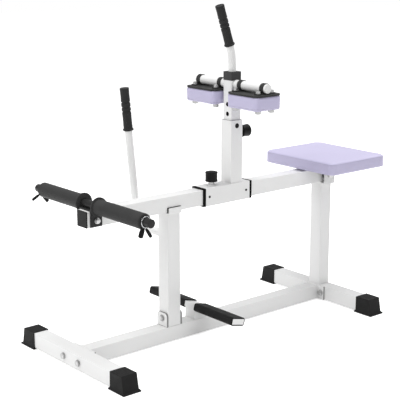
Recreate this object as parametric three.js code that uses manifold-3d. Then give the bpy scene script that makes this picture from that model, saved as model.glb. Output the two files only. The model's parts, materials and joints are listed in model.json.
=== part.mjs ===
// Seated calf raise machine: a welded tube base, a lever with seat and weight bar,
// a carriage with a height post and thigh pads, and the pins, clips and bolts between them.
// Millimetres, +Z up, +Y towards the seat, +X to the right as seen from the weights.

import * as THREE from "three";
import { ConvexGeometry } from "three/addons/geometries/ConvexGeometry.js";
import { mergeVertices } from "three/addons/utils/BufferGeometryUtils.js";
import Module from "manifold-3d";

const wasm = await Module();
wasm.setup();

// Driving dimensions of the frame
const tubeSize = 50;
const tubeWall = 3;
const tubeCorner = 1.5;
const fitGap = 0.3;
const plateThickness = 5;
const footLift = 3.2;
const footTop = footLift + tubeSize;
const halfTube = tubeSize / 2;
const frontFootY = 0;
const rearFootY = 1054.2;
const footHalfLength = 262;
const beamTop = 485;
const beamBottom = beamTop - tubeSize;

// Rubber caps on the feet: an end that slants outwards and a skirt round the bottom
const capEndThickness = 3.5;
const capReach = footHalfLength + capEndThickness;
const capLength = 59;
const capProud = 2.8;
const capTop = footTop + capProud;
const capChamfer = 1.2;
const capSlant = 8;
const capFlankSlant = 0.5;
const capSkirtTop = 8;
const capSkirtLip = 3;
const capSkirtWidth = 4.1;
const capSkirtEndWidth = 7.2;
const capStandOut = capProud + capFlankSlant + capSkirtWidth;

const flangeOverhang = 29;
const flangeHalfWidth = halfTube + flangeOverhang;
const flangeBoltOffset = 15;
const flangeBoltX = halfTube + flangeBoltOffset;
const flangeBoltZ = footLift + halfTube;

const boltRadius = 5;
const boltHeadAcross = 17;
const boltHeadHeight = 6.4;
const washerThickness = 1.6;
const boltClearance = 0.3;

// Front post with the cradle that carries the lever at rest
const frontPostY = 360;
const postFootGap = 1;
const earThickness = 6;
const earRise = 46;
const earTop = footTop + earRise;
const earCorner = 12;
const earWeldDepth = 1;
const postBoltRise = 27;
const postBoltZ = footTop + postBoltRise;
const cradleDrop = 7;
const cradleFloor = beamBottom - cradleDrop;
const cradleWall = 4.2;
const cradleSideRoom = 8;
const cradleHalfWidth = halfTube + cradleSideRoom;
const cradleLipHeight = 20.7;
const cradleTop = cradleFloor + cradleLipHeight;
const cradleBend = 5;
const linerHalfWidth = cradleHalfWidth - cradleWall - fitGap;
const linerProud = 2;
const linerTop = cradleTop + linerProud;
const linerOverhang = 2.5;

// Side handle on the front post
const handleTubeRadius = 12.7;
const handleTubeWall = 2;
const sideHandleX = -167;
const sideHandleLegZ = 351;
const sideHandleBend = 26;
const sideHandleTop = new THREE.Vector3(sideHandleX, 338.4, 811);
const sideGripLength = 139;
const gripRadius = 14.8;
const gripFlangeRadius = 17.4;
const gripFlangeLength = 5;
const gripGrooveDepth = 1.2;
const gripGrooveWidth = 4.6;
const gripGroovePlaces = [0.45, 0.55, 0.666];
const gripEdge = 1.2;

// Footrest: a flat bar whose rear edge is tilted down, on a stem that is cut to the same tilt
const stemFrontY = 470;
const stemDepth = 46;
const footrestY = stemFrontY + stemDepth / 2;
const footrestRise = 39.4;
const footrestZ = footTop + footrestRise;
const footrestTilt = THREE.MathUtils.degToRad(13);
const footrestHeight = 18;
const footrestDepth = 48;
const footrestHalfLength = 213;
const sleeveInnerMargin = 1;
const sleeveInnerX = halfTube + sleeveInnerMargin;
const sleeveThickness = 4.5;
const sleeveCorner = 8;
const sleeveEndMargin = 1;

// Lever beam and its pivot
const beamFrontY = 56;
const pivotY = 1079;
const pivotZ = (beamTop + beamBottom) / 2;
const beamRearPastPivot = 11;
const beamRearY = pivotY + beamRearPastPivot;
const pivotBoltRadius = 6;
const bracketDrop = 7.7;
const bracketFloorBottom = beamBottom - bracketDrop;
const bracketSideRoom = 11;
const bracketEarInner = halfTube + bracketSideRoom;
const bracketEarInset = 0.2;
const bracketEarRadius = halfTube - bracketEarInset;
const bracketEarCorner = 9;
const bushInset = 2.4;
const bushRadius = halfTube - bushInset;
const plugFlange = 3.4;
const plugDepth = 22;

// Weight bar on the front of the lever
const weightBarY = 87.6;
const weightBarRadius = 13;
const weightBarLift = 0.7;
const weightBarZ = beamTop + weightBarRadius + weightBarLift;
const weightBarHalfLength = 297;
const weightBarChamfer = 1.5;
const strapFrontY = 65;
const strapRearY = 106;
const strapWall = 4.4;
const strapBottomRise = 1.2;
const strapBottom = beamBottom + strapBottomRise;
const strapBoltRise = 19.7;
const strapBoltZ = beamBottom + strapBoltRise;
const discSleeveStart = 11.5;
const discSleeveInner = halfTube + discSleeveStart;
const clipRoom = 32.5;
const discSleeveOuter = weightBarHalfLength - clipRoom;
const discSleeveRadius = 23;
const discFlangeWidth = 7;
const discFlangeRadius = discSleeveRadius + discFlangeWidth;
const discFlangeLength = 5.5;
const discSleevePlay = 0.5;
const discSleeveBore = weightBarRadius + discSleevePlay;
const discFlangeChamfer = 1.5;
const discSleeveChamfer = 3;

// Spring clips that hold the sleeves on the bar
const clipStandOff = 1;
const clipInner = discSleeveOuter + clipStandOff;
const clipWireRadius = 2;
const clipPlay = 1;
const clipCoilRadius = weightBarRadius + clipPlay + clipWireRadius;
const clipPitch = 4.8;
const clipTurns = 1;
const clipStepsPerTurn = 20;
const clipWireSides = 5;
const clipHandleLength = 35;
const clipHandleShares = [1, 0.6, 0.22];
const clipInnerLean = -0.024;
const clipOuterLean = 0.2;
const neighbourRadii = 6;
// In degrees from straight down: where the inner end leaves the coil and the way it runs, then the outer's
const clipEnds = {
  left: [-13, 38, -30, -55],
  right: [-30, -18, -11, 27],
};

// Seat
const seatFrontY = 954.5;
const seatRearY = 1233.5;
const seatHalfWidth = 169;
const seatCornerRadius = 33;
const seatPlateThickness = 5.7;
const seatBottom = beamTop + seatPlateThickness + fitGap;
const seatSideHeight = 36;
const seatEdge = seatBottom + seatSideHeight;
const seatCrown = 10;
const seatTop = seatEdge + seatCrown;
const seatPlateShare = 0.7;

// Carriage on the lever
const carriageWall = 4;
const carriagePlay = 1;
const carriageSize = tubeSize + 2 * (carriageWall + carriagePlay);
const carriageFrontY = 514;
const carriageRearY = 704;
const trimLength = 9.4;
const screwFrontY = 529;
const screwRearY = 688;
const screwRise = 26;
const screwZ = beamBottom + screwRise;
const screwRadius = 2.5;
const screwHeadRadius = 3.9;
const screwHeadHeight = 2.4;
const uprightY = 650;
const uprightTop = 698;
const uprightHoleZ = 680;
const uprightHoleRadius = 7.5;
const uprightWall = 4.7;

// Pull knobs
const carriageKnobY = 562;
const uprightKnobZ = 655;
const bossRadius = 11;
const bossHeight = 4;
const barrelAcross = 16.5;
const barrelHeight = 8.7;
const barrelSpigotRadius = 7;
const barrelBore = 4.4;
const pinRadius = 4;
const knobRadius = 20.5;
const knobLength = 31;
const knobDome = 3;
const knobWaist = 0.9;
const knobWaistLength = 4;

// Height post, its cap and the handle on top
const innerSize = tubeSize - 2 * (uprightWall + fitGap);
const innerWall = 3;
const innerCorner = 1.5;
const innerBottom = 590;
const crossTubeRadius = 15;
const crossTubeZ = 815;
const innerTopRise = 18;
const innerTop = crossTubeZ + innerTopRise;
const heightHoleRadius = 7.3;
const heightHoleTop = 749.5;
const heightHolePitch = 31.5;
const heightHoleCount = 5;
const capBlockHeight = 26;
const capBlockTop = innerTop + capBlockHeight;
const capBlockOverhang = 0.5;
const capBlockSize = innerSize + 2 * capBlockOverhang;
const capBlockFloor = 6;
const capBlockCorner = 3;
const upperHandleRise = 10;
const upperBendStart = capBlockTop + upperHandleRise;
const upperBendRadius = 220;
const upperLean = THREE.MathUtils.degToRad(18.8);
const upperGripLength = 136;
const gripTubeEnd = 4;

// Thigh pads on the cross tube
const crossTubeHalfLength = 169.5;
const padSideRoom = 5.5;
const padInnerX = halfTube + padSideRoom;
const padOuterX = 176.7;
const padFrontY = 595;
const padRearY = 707;
const padCorner = 20;
const padPlateDrop = 18;
const padPlateTop = crossTubeZ - padPlateDrop;
const padPlateThickness = 5.1;
const padTop = padPlateTop - padPlateThickness - fitGap;
const padThickness = 44;
const padBottom = padTop - padThickness;
const padCrownShare = 0.1;
const clampWidth = 17;
const innerClampInset = 18.5;
const outerClampInset = 22.7;
const clampCentres = [padInnerX + innerClampInset, padOuterX - outerClampInset];
const clampPlay = 0.4;
const clampBore = crossTubeRadius + clampPlay;
const clampWall = 2.2;
const clampOuterRadius = crossTubeRadius + clampWall;
const clampFootReach = 38;
const clampFootThickness = 4;
const clampFootTop = padPlateTop + clampFootThickness;
const padBoltOffset = 28.5;
const padBoltRadius = 4;
const padBoltHeadAcross = 13;
const padBoltHeadHeight = 6;
const padNutAcross = 18;
const padNutHeight = 8.5;

// Facet counts
const cornerSegments = 2;
const roundSegments = 24;
const mediumSegments = 16;
const shankSegments = 12;
const smallSegments = 8;
const hexSides = 6;
const mergeDistance = 1e-4;
const cushionPoints = 48;
const bendSteps = 6;
const wireSamples = 600;

// The plan centre of the whole machine, between its front bolt heads and the seat, becomes the origin
const boltStandOut = washerThickness + boltHeadHeight;
const planCentreY = (seatRearY - Math.max(capStandOut, boltStandOut)) / 2;

const share = (value, fraction) => value * fraction;

const materials = {
  frame: new THREE.MeshStandardMaterial({ color: 0xe9e9e9, roughness: 0.35, metalness: 0 }),
  black: new THREE.MeshStandardMaterial({ color: 0x2b2b2b, roughness: 0.6, metalness: 0 }),
  rubber: new THREE.MeshStandardMaterial({ color: 0x232323, roughness: 0.85, metalness: 0 }),
  blackPaint: new THREE.MeshStandardMaterial({ color: 0x303030, roughness: 0.45, metalness: 0.2 }),
  silver: new THREE.MeshStandardMaterial({ color: 0xb9bbbe, roughness: 0.35, metalness: 1 }),
  chrome: new THREE.MeshStandardMaterial({ color: 0xc8cacc, roughness: 0.15, metalness: 1 }),
  cushion: new THREE.MeshStandardMaterial({ color: 0xbdb6d6, roughness: 0.6, metalness: 0 }),
};

// A closed three.js geometry becomes a solid that can be cut and joined
function toSolid(geometry) {
  const bare = geometry.index ? geometry.toNonIndexed() : geometry.clone();
  bare.deleteAttribute("normal");
  bare.deleteAttribute("uv");
  const merged = mergeVertices(bare, mergeDistance);
  return new wasm.Manifold(new wasm.Mesh({
    numProp: 3,
    vertProperties: new Float32Array(merged.attributes.position.array),
    triVerts: new Uint32Array(merged.index.array),
  }));
}

function toGeometry(solid) {
  const mesh = solid.getMesh();
  const geometry = new THREE.BufferGeometry();
  geometry.setAttribute("position", new THREE.BufferAttribute(new Float32Array(mesh.vertProperties), 3));
  geometry.setIndex(new THREE.BufferAttribute(new Uint32Array(mesh.triVerts), 1));
  return geometry;
}

// Joins the first list of geometries and cuts the second list away
function shaped(joined, cut = []) {
  let solid = toSolid(joined[0]);
  for (const geometry of joined.slice(1)) {
    solid = solid.add(toSolid(geometry));
  }
  for (const geometry of cut) {
    solid = solid.subtract(toSolid(geometry));
  }
  return toGeometry(solid);
}

function block(x0, x1, y0, y1, z0, z1) {
  const geometry = new THREE.BoxGeometry(x1 - x0, y1 - y0, z1 - z0);
  geometry.translate((x0 + x1) / 2, (y0 + y1) / 2, (z0 + z1) / 2);
  return geometry;
}

// Turns a shape that was made along +Z so that it runs along another axis
function along(geometry, axis) {
  if (axis === "x") {
    geometry.rotateY(Math.PI / 2);
  }
  if (axis === "-x") {
    geometry.rotateY(-Math.PI / 2);
  }
  if (axis === "y") {
    geometry.rotateX(-Math.PI / 2);
  }
  if (axis === "-y") {
    geometry.rotateX(Math.PI / 2);
  }
  if (axis === "-z") {
    geometry.rotateX(Math.PI);
  }
  return geometry;
}

// A turned solid from [radius, height] points, standing on its first height along +Z
function turned(profile, segments = roundSegments) {
  const points = profile.map(([radius, height]) => new THREE.Vector2(radius, height));
  const geometry = new THREE.LatheGeometry(points, segments);
  geometry.rotateX(Math.PI / 2);
  return geometry;
}

function rod(radius, start, end, segments = shankSegments) {
  return turned([[0, start], [radius, start], [radius, end], [0, end]], segments);
}

function hexagon(across, start, end) {
  const corner = across / Math.sqrt(3);
  const geometry = new THREE.CylinderGeometry(corner, corner, end - start, hexSides);
  geometry.rotateX(Math.PI / 2);
  geometry.translate(0, 0, (start + end) / 2);
  return geometry;
}

function roundedOutline(width, depth, corner, path = new THREE.Shape()) {
  const x = width / 2;
  const y = depth / 2;
  path.moveTo(-x + corner, -y);
  path.lineTo(x - corner, -y);
  path.absarc(x - corner, -y + corner, corner, -Math.PI / 2, 0, false);
  path.lineTo(x, y - corner);
  path.absarc(x - corner, y - corner, corner, 0, Math.PI / 2, false);
  path.lineTo(-x + corner, y);
  path.absarc(-x + corner, y - corner, corner, Math.PI / 2, Math.PI, false);
  path.lineTo(-x, -y + corner);
  path.absarc(-x + corner, -y + corner, corner, Math.PI, 1.5 * Math.PI, false);
  return path;
}

// A rounded bar, or a rounded tube when a wall is given, of a length along +Z from zero
function roundedBar(width, depth, corner, length, wall = 0) {
  const outline = roundedOutline(width, depth, corner);
  if (wall > 0) {
    const innerRound = Math.max(corner - wall, share(wall, 0.3));
    outline.holes.push(roundedOutline(width - 2 * wall, depth - 2 * wall, innerRound, new THREE.Path()));
  }
  return new THREE.ExtrudeGeometry(outline, {
    depth: length,
    steps: 1,
    bevelEnabled: false,
    curveSegments: cornerSegments,
  });
}

// A square frame tube between two points of one row axis
function squareTube(
  axis, start, end, centreA, centreB, size = tubeSize, wall = tubeWall, corner = tubeCorner,
) {
  const geometry = along(roundedBar(size, size, corner, end - start, wall), axis);
  if (axis === "x") {
    geometry.translate(start, centreA, centreB);
  }
  if (axis === "y") {
    geometry.translate(centreA, start, centreB);
  }
  if (axis === "z") {
    geometry.translate(centreA, centreB, start);
  }
  return geometry;
}

// An extruded outline whose plane is square to a row axis, from one place on that axis to another
function slab(axis, outline, start, end) {
  const geometry = new THREE.ExtrudeGeometry(outline, {
    depth: end - start,
    steps: 1,
    bevelEnabled: false,
    curveSegments: smallSegments,
  });
  if (axis === "x") {
    geometry.rotateZ(Math.PI / 2);
    geometry.rotateY(Math.PI / 2);
    geometry.translate(start, 0, 0);
  }
  if (axis === "y") {
    geometry.rotateX(Math.PI / 2);
    geometry.translate(0, end, 0);
  }
  if (axis === "z") {
    geometry.translate(0, 0, start);
  }
  return geometry;
}

// A hex bolt along +Z: its head's underside is at zero, its washer too, and the shank runs down
function hexBolt(radius, across, headHeight, gripLength, withNut) {
  const flat = washerThickness;
  const parts = [
    rod(radius, -gripLength - (withNut ? flat + headHeight + share(radius, 0.8) : 0), share(flat, 0.5)),
    rod(share(across, 0.65), 0, flat, mediumSegments),
    hexagon(across, share(flat, 0.5), flat + headHeight),
  ];
  if (withNut) {
    parts.push(rod(share(across, 0.65), -gripLength - flat, -gripLength, mediumSegments));
    parts.push(hexagon(across, -gripLength - flat - headHeight, -gripLength - share(flat, 0.5)));
  }
  return shaped(parts);
}

const group = new THREE.Group();
group.position.set(0, -planCentreY, 0);
let triangleCount = 0;

function addNode(name, geometry, material) {
  const flat = geometry.index ? geometry.toNonIndexed() : geometry;
  flat.computeVertexNormals();
  const mesh = new THREE.Mesh(flat, material);
  mesh.name = name;
  group.add(mesh);
  triangleCount += flat.attributes.position.count / 3;
}

const sides = [
  { word: "left", sign: -1 },
  { word: "right", sign: 1 },
];

// Base: two cross feet in rubber caps, joined by a flanged spine
function buildFoot(name, startY, boltSide) {
  const tube = squareTube("x", -footHalfLength, footHalfLength, startY + halfTube, footLift + halfTube);
  const holes = sides.map(({ sign }) => {
    const hole = along(rod(boltRadius + boltClearance, -tubeSize, tubeSize), "y");
    hole.translate(sign * flangeBoltX, startY + halfTube, flangeBoltZ);
    return hole;
  });
  addNode(name, shaped([tube], holes), materials.frame);
  for (const { word, sign } of sides) {
    const bolt = along(hexBolt(boltRadius, boltHeadAcross, boltHeadHeight, tubeSize + plateThickness, true),
      boltSide > 0 ? "y" : "-y");
    const headY = boltSide > 0 ? startY + tubeSize : startY;
    bolt.translate(sign * flangeBoltX, headY, flangeBoltZ);
    addNode(`${name}_bolt_${word}`, bolt, materials.silver);
  }
}

// A convex solid through the corners of level rectangles
function levelHull(levels) {
  const points = [];
  for (const { z, x, y } of levels) {
    for (const cornerX of x) {
      for (const cornerY of y) {
        points.push(new THREE.Vector3(cornerX, cornerY, z));
      }
    }
  }
  return new ConvexGeometry(points);
}

function buildCap(name, startY, sign) {
  const inner = capReach - capLength;
  // A level's sides from how far it stands out at the inner end, the outer end and the flanks
  const level = (z, atInner, atOuter, atFlank) => {
    const half = halfTube + atFlank;
    const middle = startY + halfTube;
    return { z, x: [sign * (inner - atInner), sign * (capReach + atOuter)], y: [middle - half, middle + half] };
  };
  const foot = capProud + capFlankSlant;
  const body = levelHull([
    level(0, 0, capSlant, foot),
    level(capSkirtTop, 0, capSlant, foot),
    level(capTop - capChamfer, 0, 0, capProud),
    level(capTop, -capChamfer, -capChamfer, capProud - capChamfer),
  ]);
  const skirt = levelHull([
    level(0, capSkirtWidth, capSlant + capSkirtEndWidth, capStandOut),
    level(capSkirtLip, capSkirtWidth, capSlant + capSkirtEndWidth, capStandOut),
    level(capSkirtTop, 0, capSlant, foot),
  ]);
  const reach = footHalfLength + fitGap;
  const open = inner - tubeSize;
  const pocket = block(
    sign > 0 ? open : -reach, sign > 0 ? reach : -open,
    startY - fitGap, startY + tubeSize + fitGap,
    footLift, footTop + fitGap,
  );
  addNode(name, shaped([body, skirt], [pocket]), materials.rubber);
}

// Tilts a shape that was made level about its middle, and moves it to the footrest's place
function onFootrest(geometry) {
  geometry.rotateX(-footrestTilt);
  geometry.translate(0, footrestY, footrestZ);
  return geometry;
}

function earOutline() {
  const outline = new THREE.Shape();
  outline.moveTo(-halfTube, footTop - earWeldDepth);
  outline.lineTo(halfTube, footTop - earWeldDepth);
  outline.lineTo(halfTube, earTop - earCorner);
  outline.absarc(halfTube - earCorner, earTop - earCorner, earCorner, 0, Math.PI / 2, false);
  outline.lineTo(-halfTube + earCorner, earTop);
  outline.absarc(-halfTube + earCorner, earTop - earCorner, earCorner, Math.PI / 2, Math.PI, false);
  return outline;
}

function buildSpine() {
  const start = frontFootY + tubeSize;
  const flange = (y0) => block(-flangeHalfWidth, flangeHalfWidth, y0, y0 + plateThickness,
    footLift, footTop);
  const window = halfTube - tubeWall - share(tubeWall, 0.5);
  const rearFlangeY = rearFootY - plateThickness;
  const earFrontY = frontPostY - fitGap - earThickness;
  const earRearY = frontPostY + tubeSize + fitGap;
  const stem = roundedBar(tubeSize, stemDepth, tubeCorner, footrestRise + earWeldDepth, tubeWall);
  stem.translate(0, footrestY, footTop - earWeldDepth);
  const joined = [
    stem,
    squareTube("y", start + plateThickness - earWeldDepth, rearFlangeY + earWeldDepth,
      0, footLift + halfTube),
    flange(start),
    flange(rearFlangeY),
    slab("y", earOutline(), earFrontY, earFrontY + earThickness),
    slab("y", earOutline(), earRearY, earRearY + earThickness),
  ];
  const cut = [onFootrest(block(-tubeSize, tubeSize, -tubeSize, tubeSize, -footrestHeight / 2, tubeSize))];
  for (const y0 of [start, rearFlangeY]) {
    cut.push(block(-window, window, y0 - plateThickness, y0 + 2 * plateThickness,
      footLift + halfTube - window, footLift + halfTube + window));
    for (const { sign } of sides) {
      const hole = along(rod(boltRadius + boltClearance, -tubeSize, tubeSize), "y");
      hole.translate(sign * flangeBoltX, y0, flangeBoltZ);
      cut.push(hole);
    }
  }
  const earHole = along(rod(boltRadius + boltClearance, -tubeSize, tubeSize), "y");
  earHole.translate(0, frontPostY + halfTube, postBoltZ);
  cut.push(earHole);
  addNode("spine", shaped(joined, cut), materials.frame);
}

// Front post, its cradle and liner, the clamp bolt and the side handle
function cradleOutline() {
  const outline = new THREE.Shape();
  const inner = cradleHalfWidth - cradleWall;
  const floor = cradleFloor + cradleWall;
  outline.moveTo(-cradleHalfWidth + cradleBend, cradleFloor);
  outline.lineTo(cradleHalfWidth - cradleBend, cradleFloor);
  outline.absarc(cradleHalfWidth - cradleBend, cradleFloor + cradleBend, cradleBend, -Math.PI / 2, 0, false);
  outline.lineTo(cradleHalfWidth, cradleTop);
  outline.lineTo(inner, cradleTop);
  outline.lineTo(inner, floor);
  outline.lineTo(-inner, floor);
  outline.lineTo(-inner, cradleTop);
  outline.lineTo(-cradleHalfWidth, cradleTop);
  outline.lineTo(-cradleHalfWidth, cradleFloor + cradleBend);
  outline.absarc(-cradleHalfWidth + cradleBend, cradleFloor + cradleBend, cradleBend,
    Math.PI, 1.5 * Math.PI, false);
  return outline;
}

function linerOutline() {
  const outline = new THREE.Shape();
  const inner = halfTube + fitGap;
  const floor = cradleFloor + cradleWall + fitGap;
  outline.moveTo(-linerHalfWidth, floor);
  outline.lineTo(linerHalfWidth, floor);
  outline.lineTo(linerHalfWidth, linerTop);
  outline.lineTo(inner, linerTop);
  outline.lineTo(inner, beamBottom - fitGap);
  outline.lineTo(-inner, beamBottom - fitGap);
  outline.lineTo(-inner, linerTop);
  outline.lineTo(-linerHalfWidth, linerTop);
  return outline;
}

function buildFrontPost() {
  const rear = frontPostY + tubeSize;
  const post = squareTube("z", footTop + postFootGap, cradleFloor + share(cradleWall, 0.5),
    0, frontPostY + halfTube);
  const cradle = slab("y", cradleOutline(), frontPostY, rear);
  const hole = along(rod(boltRadius + boltClearance, -tubeSize, tubeSize), "y");
  hole.translate(0, frontPostY + halfTube, postBoltZ);
  addNode("front_post", shaped([post, cradle], [hole]), materials.frame);
  const liner = slab("y", linerOutline(), frontPostY - linerOverhang, rear + share(linerOverhang, 0.5));
  addNode("cradle_liner", liner, materials.rubber);
  const grip = tubeSize + 2 * (earThickness + fitGap);
  const bolt = along(hexBolt(boltRadius, boltHeadAcross, boltHeadHeight, grip, true), "-y");
  bolt.translate(0, frontPostY - fitGap - earThickness, postBoltZ);
  addNode("front_post_bolt", bolt, materials.silver);
}

// A straight line, a bend and another straight line, as one path
class BentPath extends THREE.CurvePath {
  constructor(start, corner, end, radius) {
    super();
    const into = corner.clone().sub(start).normalize();
    const out = end.clone().sub(corner).normalize();
    const turn = into.angleTo(out);
    const trim = radius * Math.tan(turn / 2);
    const bendStart = corner.clone().addScaledVector(into, -trim);
    const bendEnd = corner.clone().addScaledVector(out, trim);
    this.add(new THREE.LineCurve3(start, bendStart));
    this.add(new THREE.QuadraticBezierCurve3(bendStart, corner, bendEnd));
    this.add(new THREE.LineCurve3(bendEnd, end));
  }
}

// The ends of a bent path's straights and even steps round its bend
function bentStations(path) {
  const [first, bend, last] = path.curves;
  const stations = [first.getPoint(0)];
  for (let step = 0; step <= bendSteps; step += 1) {
    stations.push(bend.getPoint(step / bendSteps));
  }
  stations.push(last.getPoint(1));
  return stations;
}

// A path from station to station, with mitred turns
class StationPath extends THREE.Curve {
  constructor(stations) {
    super();
    this.stations = stations;
  }

  getPoint(t) {
    const place = t * (this.stations.length - 1);
    const before = Math.min(Math.floor(place), this.stations.length - 2);
    return this.stations[before].clone().lerp(this.stations[before + 1], place - before);
  }

  getPointAt(t) {
    return this.getPoint(t);
  }

  getTangent(t) {
    const last = this.stations.length - 1;
    const index = Math.round(t * last);
    const ahead = this.stations[Math.min(index + 1, last)];
    const behind = this.stations[Math.max(index - 1, 0)];
    if (index === 0 || index === last) {
      return ahead.clone().sub(behind).normalize();
    }
    const here = this.stations[index];
    const into = here.clone().sub(behind).normalize();
    const out = ahead.clone().sub(here).normalize();
    return into.add(out).normalize();
  }

  getTangentAt(t) {
    return this.getTangent(t);
  }

  get steps() {
    return this.stations.length - 1;
  }
}

// A round tube along a path, solid when the inner radius is zero
function sweptTube(path, outer, inner, segments = mediumSegments) {
  const shape = new THREE.Shape();
  shape.absarc(0, 0, outer, 0, 2 * Math.PI, false);
  if (inner > 0) {
    const hole = new THREE.Path();
    hole.absarc(0, 0, inner, 0, 2 * Math.PI, false);
    shape.holes.push(hole);
  }
  return new THREE.ExtrudeGeometry(shape, {
    steps: path.steps,
    extrudePath: path,
    bevelEnabled: false,
    curveSegments: Math.round(segments / 2),
  });
}

// A grooved rubber grip along +Z from its flange at zero, closed over its tube's end
function gripGeometry(length, bore) {
  const profile = [
    [bore, 0],
    [gripFlangeRadius, 0],
    [gripFlangeRadius, gripFlangeLength],
    [gripRadius, gripFlangeLength],
  ];
  for (const place of gripGroovePlaces) {
    const middle = share(length, place);
    profile.push([gripRadius, middle - gripGrooveWidth / 2]);
    profile.push([gripRadius - gripGrooveDepth, middle - gripGrooveWidth / 4]);
    profile.push([gripRadius - gripGrooveDepth, middle + gripGrooveWidth / 4]);
    profile.push([gripRadius, middle + gripGrooveWidth / 2]);
  }
  profile.push([gripRadius, length - gripEdge]);
  profile.push([gripRadius - gripEdge, length]);
  profile.push([0, length]);
  profile.push([0, length - gripTubeEnd]);
  profile.push([bore, length - gripTubeEnd]);
  profile.push([bore, 0]);
  return turned(profile, mediumSegments);
}

// Moves a shape made along +Z so that it starts at a point and runs in a direction
function aimed(geometry, start, direction) {
  const up = new THREE.Vector3(0, 0, 1);
  const turn = new THREE.Quaternion().setFromUnitVectors(up, direction.clone().normalize());
  geometry.applyQuaternion(turn);
  geometry.translate(start.x, start.y, start.z);
  return geometry;
}

function buildSideHandle() {
  const legStart = new THREE.Vector3(-halfTube - fitGap, frontPostY + halfTube, sideHandleLegZ);
  const corner = new THREE.Vector3(sideHandleX, frontPostY + halfTube, sideHandleLegZ);
  const lean = sideHandleTop.clone().sub(corner).normalize();
  const tubeEnd = sideHandleTop.clone().addScaledVector(lean, -gripTubeEnd - fitGap);
  const path = new StationPath(bentStations(new BentPath(legStart, corner, tubeEnd, sideHandleBend)));
  const tube = sweptTube(path, handleTubeRadius, handleTubeRadius - handleTubeWall);
  addNode("side_handle", tube, materials.frame);
  const gripStart = sideHandleTop.clone().addScaledVector(lean, -sideGripLength);
  addNode("side_grip", aimed(gripGeometry(sideGripLength, handleTubeRadius + fitGap), gripStart, lean),
    materials.rubber);
}

// Footrest bar with a rubber sleeve on each half
function buildFootrest() {
  const bar = along(roundedBar(footrestHeight, footrestDepth, tubeCorner, 2 * footrestHalfLength), "x");
  bar.translate(-footrestHalfLength, 0, 0);
  addNode("footrest_bar", onFootrest(bar), materials.frame);
  for (const { word, sign } of sides) {
    const length = footrestHalfLength - sleeveEndMargin - sleeveInnerX;
    const outer = along(roundedBar(footrestHeight + 2 * sleeveThickness, footrestDepth + 2 * sleeveThickness,
      sleeveCorner, length), "x");
    const start = sign > 0 ? sleeveInnerX : -sleeveInnerX - length;
    outer.translate(start, 0, 0);
    const halfDepth = footrestDepth / 2 + fitGap;
    const halfHeight = footrestHeight / 2 + fitGap;
    const hole = block(start - fitGap, start + length + fitGap, -halfDepth, halfDepth, -halfHeight, halfHeight);
    addNode(`footrest_sleeve_${word}`, shaped([onFootrest(outer)], [onFootrest(hole)]), materials.rubber);
  }
}

// Rear post with the two-eared pivot bracket, whose ears have a rounded lower rear corner
function bracketEar() {
  const outline = new THREE.Shape();
  const corner = bracketEarCorner;
  outline.moveTo(-halfTube, bracketFloorBottom);
  outline.lineTo(halfTube - corner, bracketFloorBottom);
  outline.absarc(halfTube - corner, bracketFloorBottom + corner, corner, -Math.PI / 2, 0, false);
  outline.lineTo(bracketEarRadius, pivotZ);
  outline.absarc(0, pivotZ, bracketEarRadius, 0, Math.PI, false);
  return outline;
}

function buildRearPost() {
  const outer = bracketEarInner + plateThickness;
  const joined = [
    squareTube("z", footTop, bracketFloorBottom + share(plateThickness, 0.5), 0, pivotY),
    block(-outer, outer, pivotY - halfTube, pivotY + halfTube, bracketFloorBottom,
      bracketFloorBottom + plateThickness),
  ];
  for (const start of [-outer, bracketEarInner]) {
    const ear = slab("x", bracketEar(), start, start + plateThickness);
    ear.translate(0, pivotY, 0);
    joined.push(ear);
  }
  const hole = along(rod(pivotBoltRadius + boltClearance, -2 * tubeSize, 2 * tubeSize, roundSegments), "x");
  hole.translate(0, pivotY, pivotZ);
  addNode("rear_post", shaped(joined, [hole]), materials.frame);
  const headAcross = share(boltHeadAcross, 1.12);
  const bolt = along(hexBolt(pivotBoltRadius, headAcross, boltHeadHeight, 2 * outer, true), "x");
  bolt.translate(outer, pivotY, pivotZ);
  addNode("pivot_bolt", bolt, materials.silver);
  for (const { word, sign } of sides) {
    const bush = along(turned([
      [pivotBoltRadius + boltClearance, halfTube + fitGap],
      [bushRadius, halfTube + fitGap],
      [bushRadius, bracketEarInner - fitGap],
      [pivotBoltRadius + boltClearance, bracketEarInner - fitGap],
      [pivotBoltRadius + boltClearance, halfTube + fitGap],
    ], roundSegments), sign > 0 ? "x" : "-x");
    bush.translate(0, pivotY, pivotZ);
    addNode(`pivot_bush_${word}`, bush, materials.black);
  }
}

// Lever beam with its end plug, weight bracket, bar and seat
function buildBeam() {
  const middleZ = (beamTop + beamBottom) / 2;
  const tube = squareTube("y", beamFrontY, beamRearY, 0, middleZ);
  const endPlate = block(-halfTube + tubeWall - share(tubeWall, 0.5), halfTube - share(tubeWall, 0.5),
    beamRearY - tubeWall, beamRearY,
    beamBottom + share(tubeWall, 0.5), beamTop - share(tubeWall, 0.5));
  const pivotHole = along(rod(pivotBoltRadius + boltClearance, -tubeSize, tubeSize, roundSegments), "x");
  pivotHole.translate(0, pivotY, pivotZ);
  const strapHole = along(rod(boltRadius + boltClearance, -tubeSize, tubeSize), "x");
  strapHole.translate(0, weightBarY, strapBoltZ);
  addNode("beam", shaped([tube, endPlate], [pivotHole, strapHole]), materials.frame);

  const inner = tubeSize - 2 * (tubeWall + fitGap);
  const flange = along(roundedBar(tubeSize, tubeSize, tubeCorner, plugFlange), "y");
  flange.translate(0, beamFrontY - plugFlange, middleZ);
  const spigot = along(roundedBar(inner, inner, tubeWall, plugDepth), "y");
  spigot.translate(0, beamFrontY - share(plugFlange, 0.5), middleZ);
  addNode("beam_plug", shaped([flange, spigot]), materials.black);
}

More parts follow.
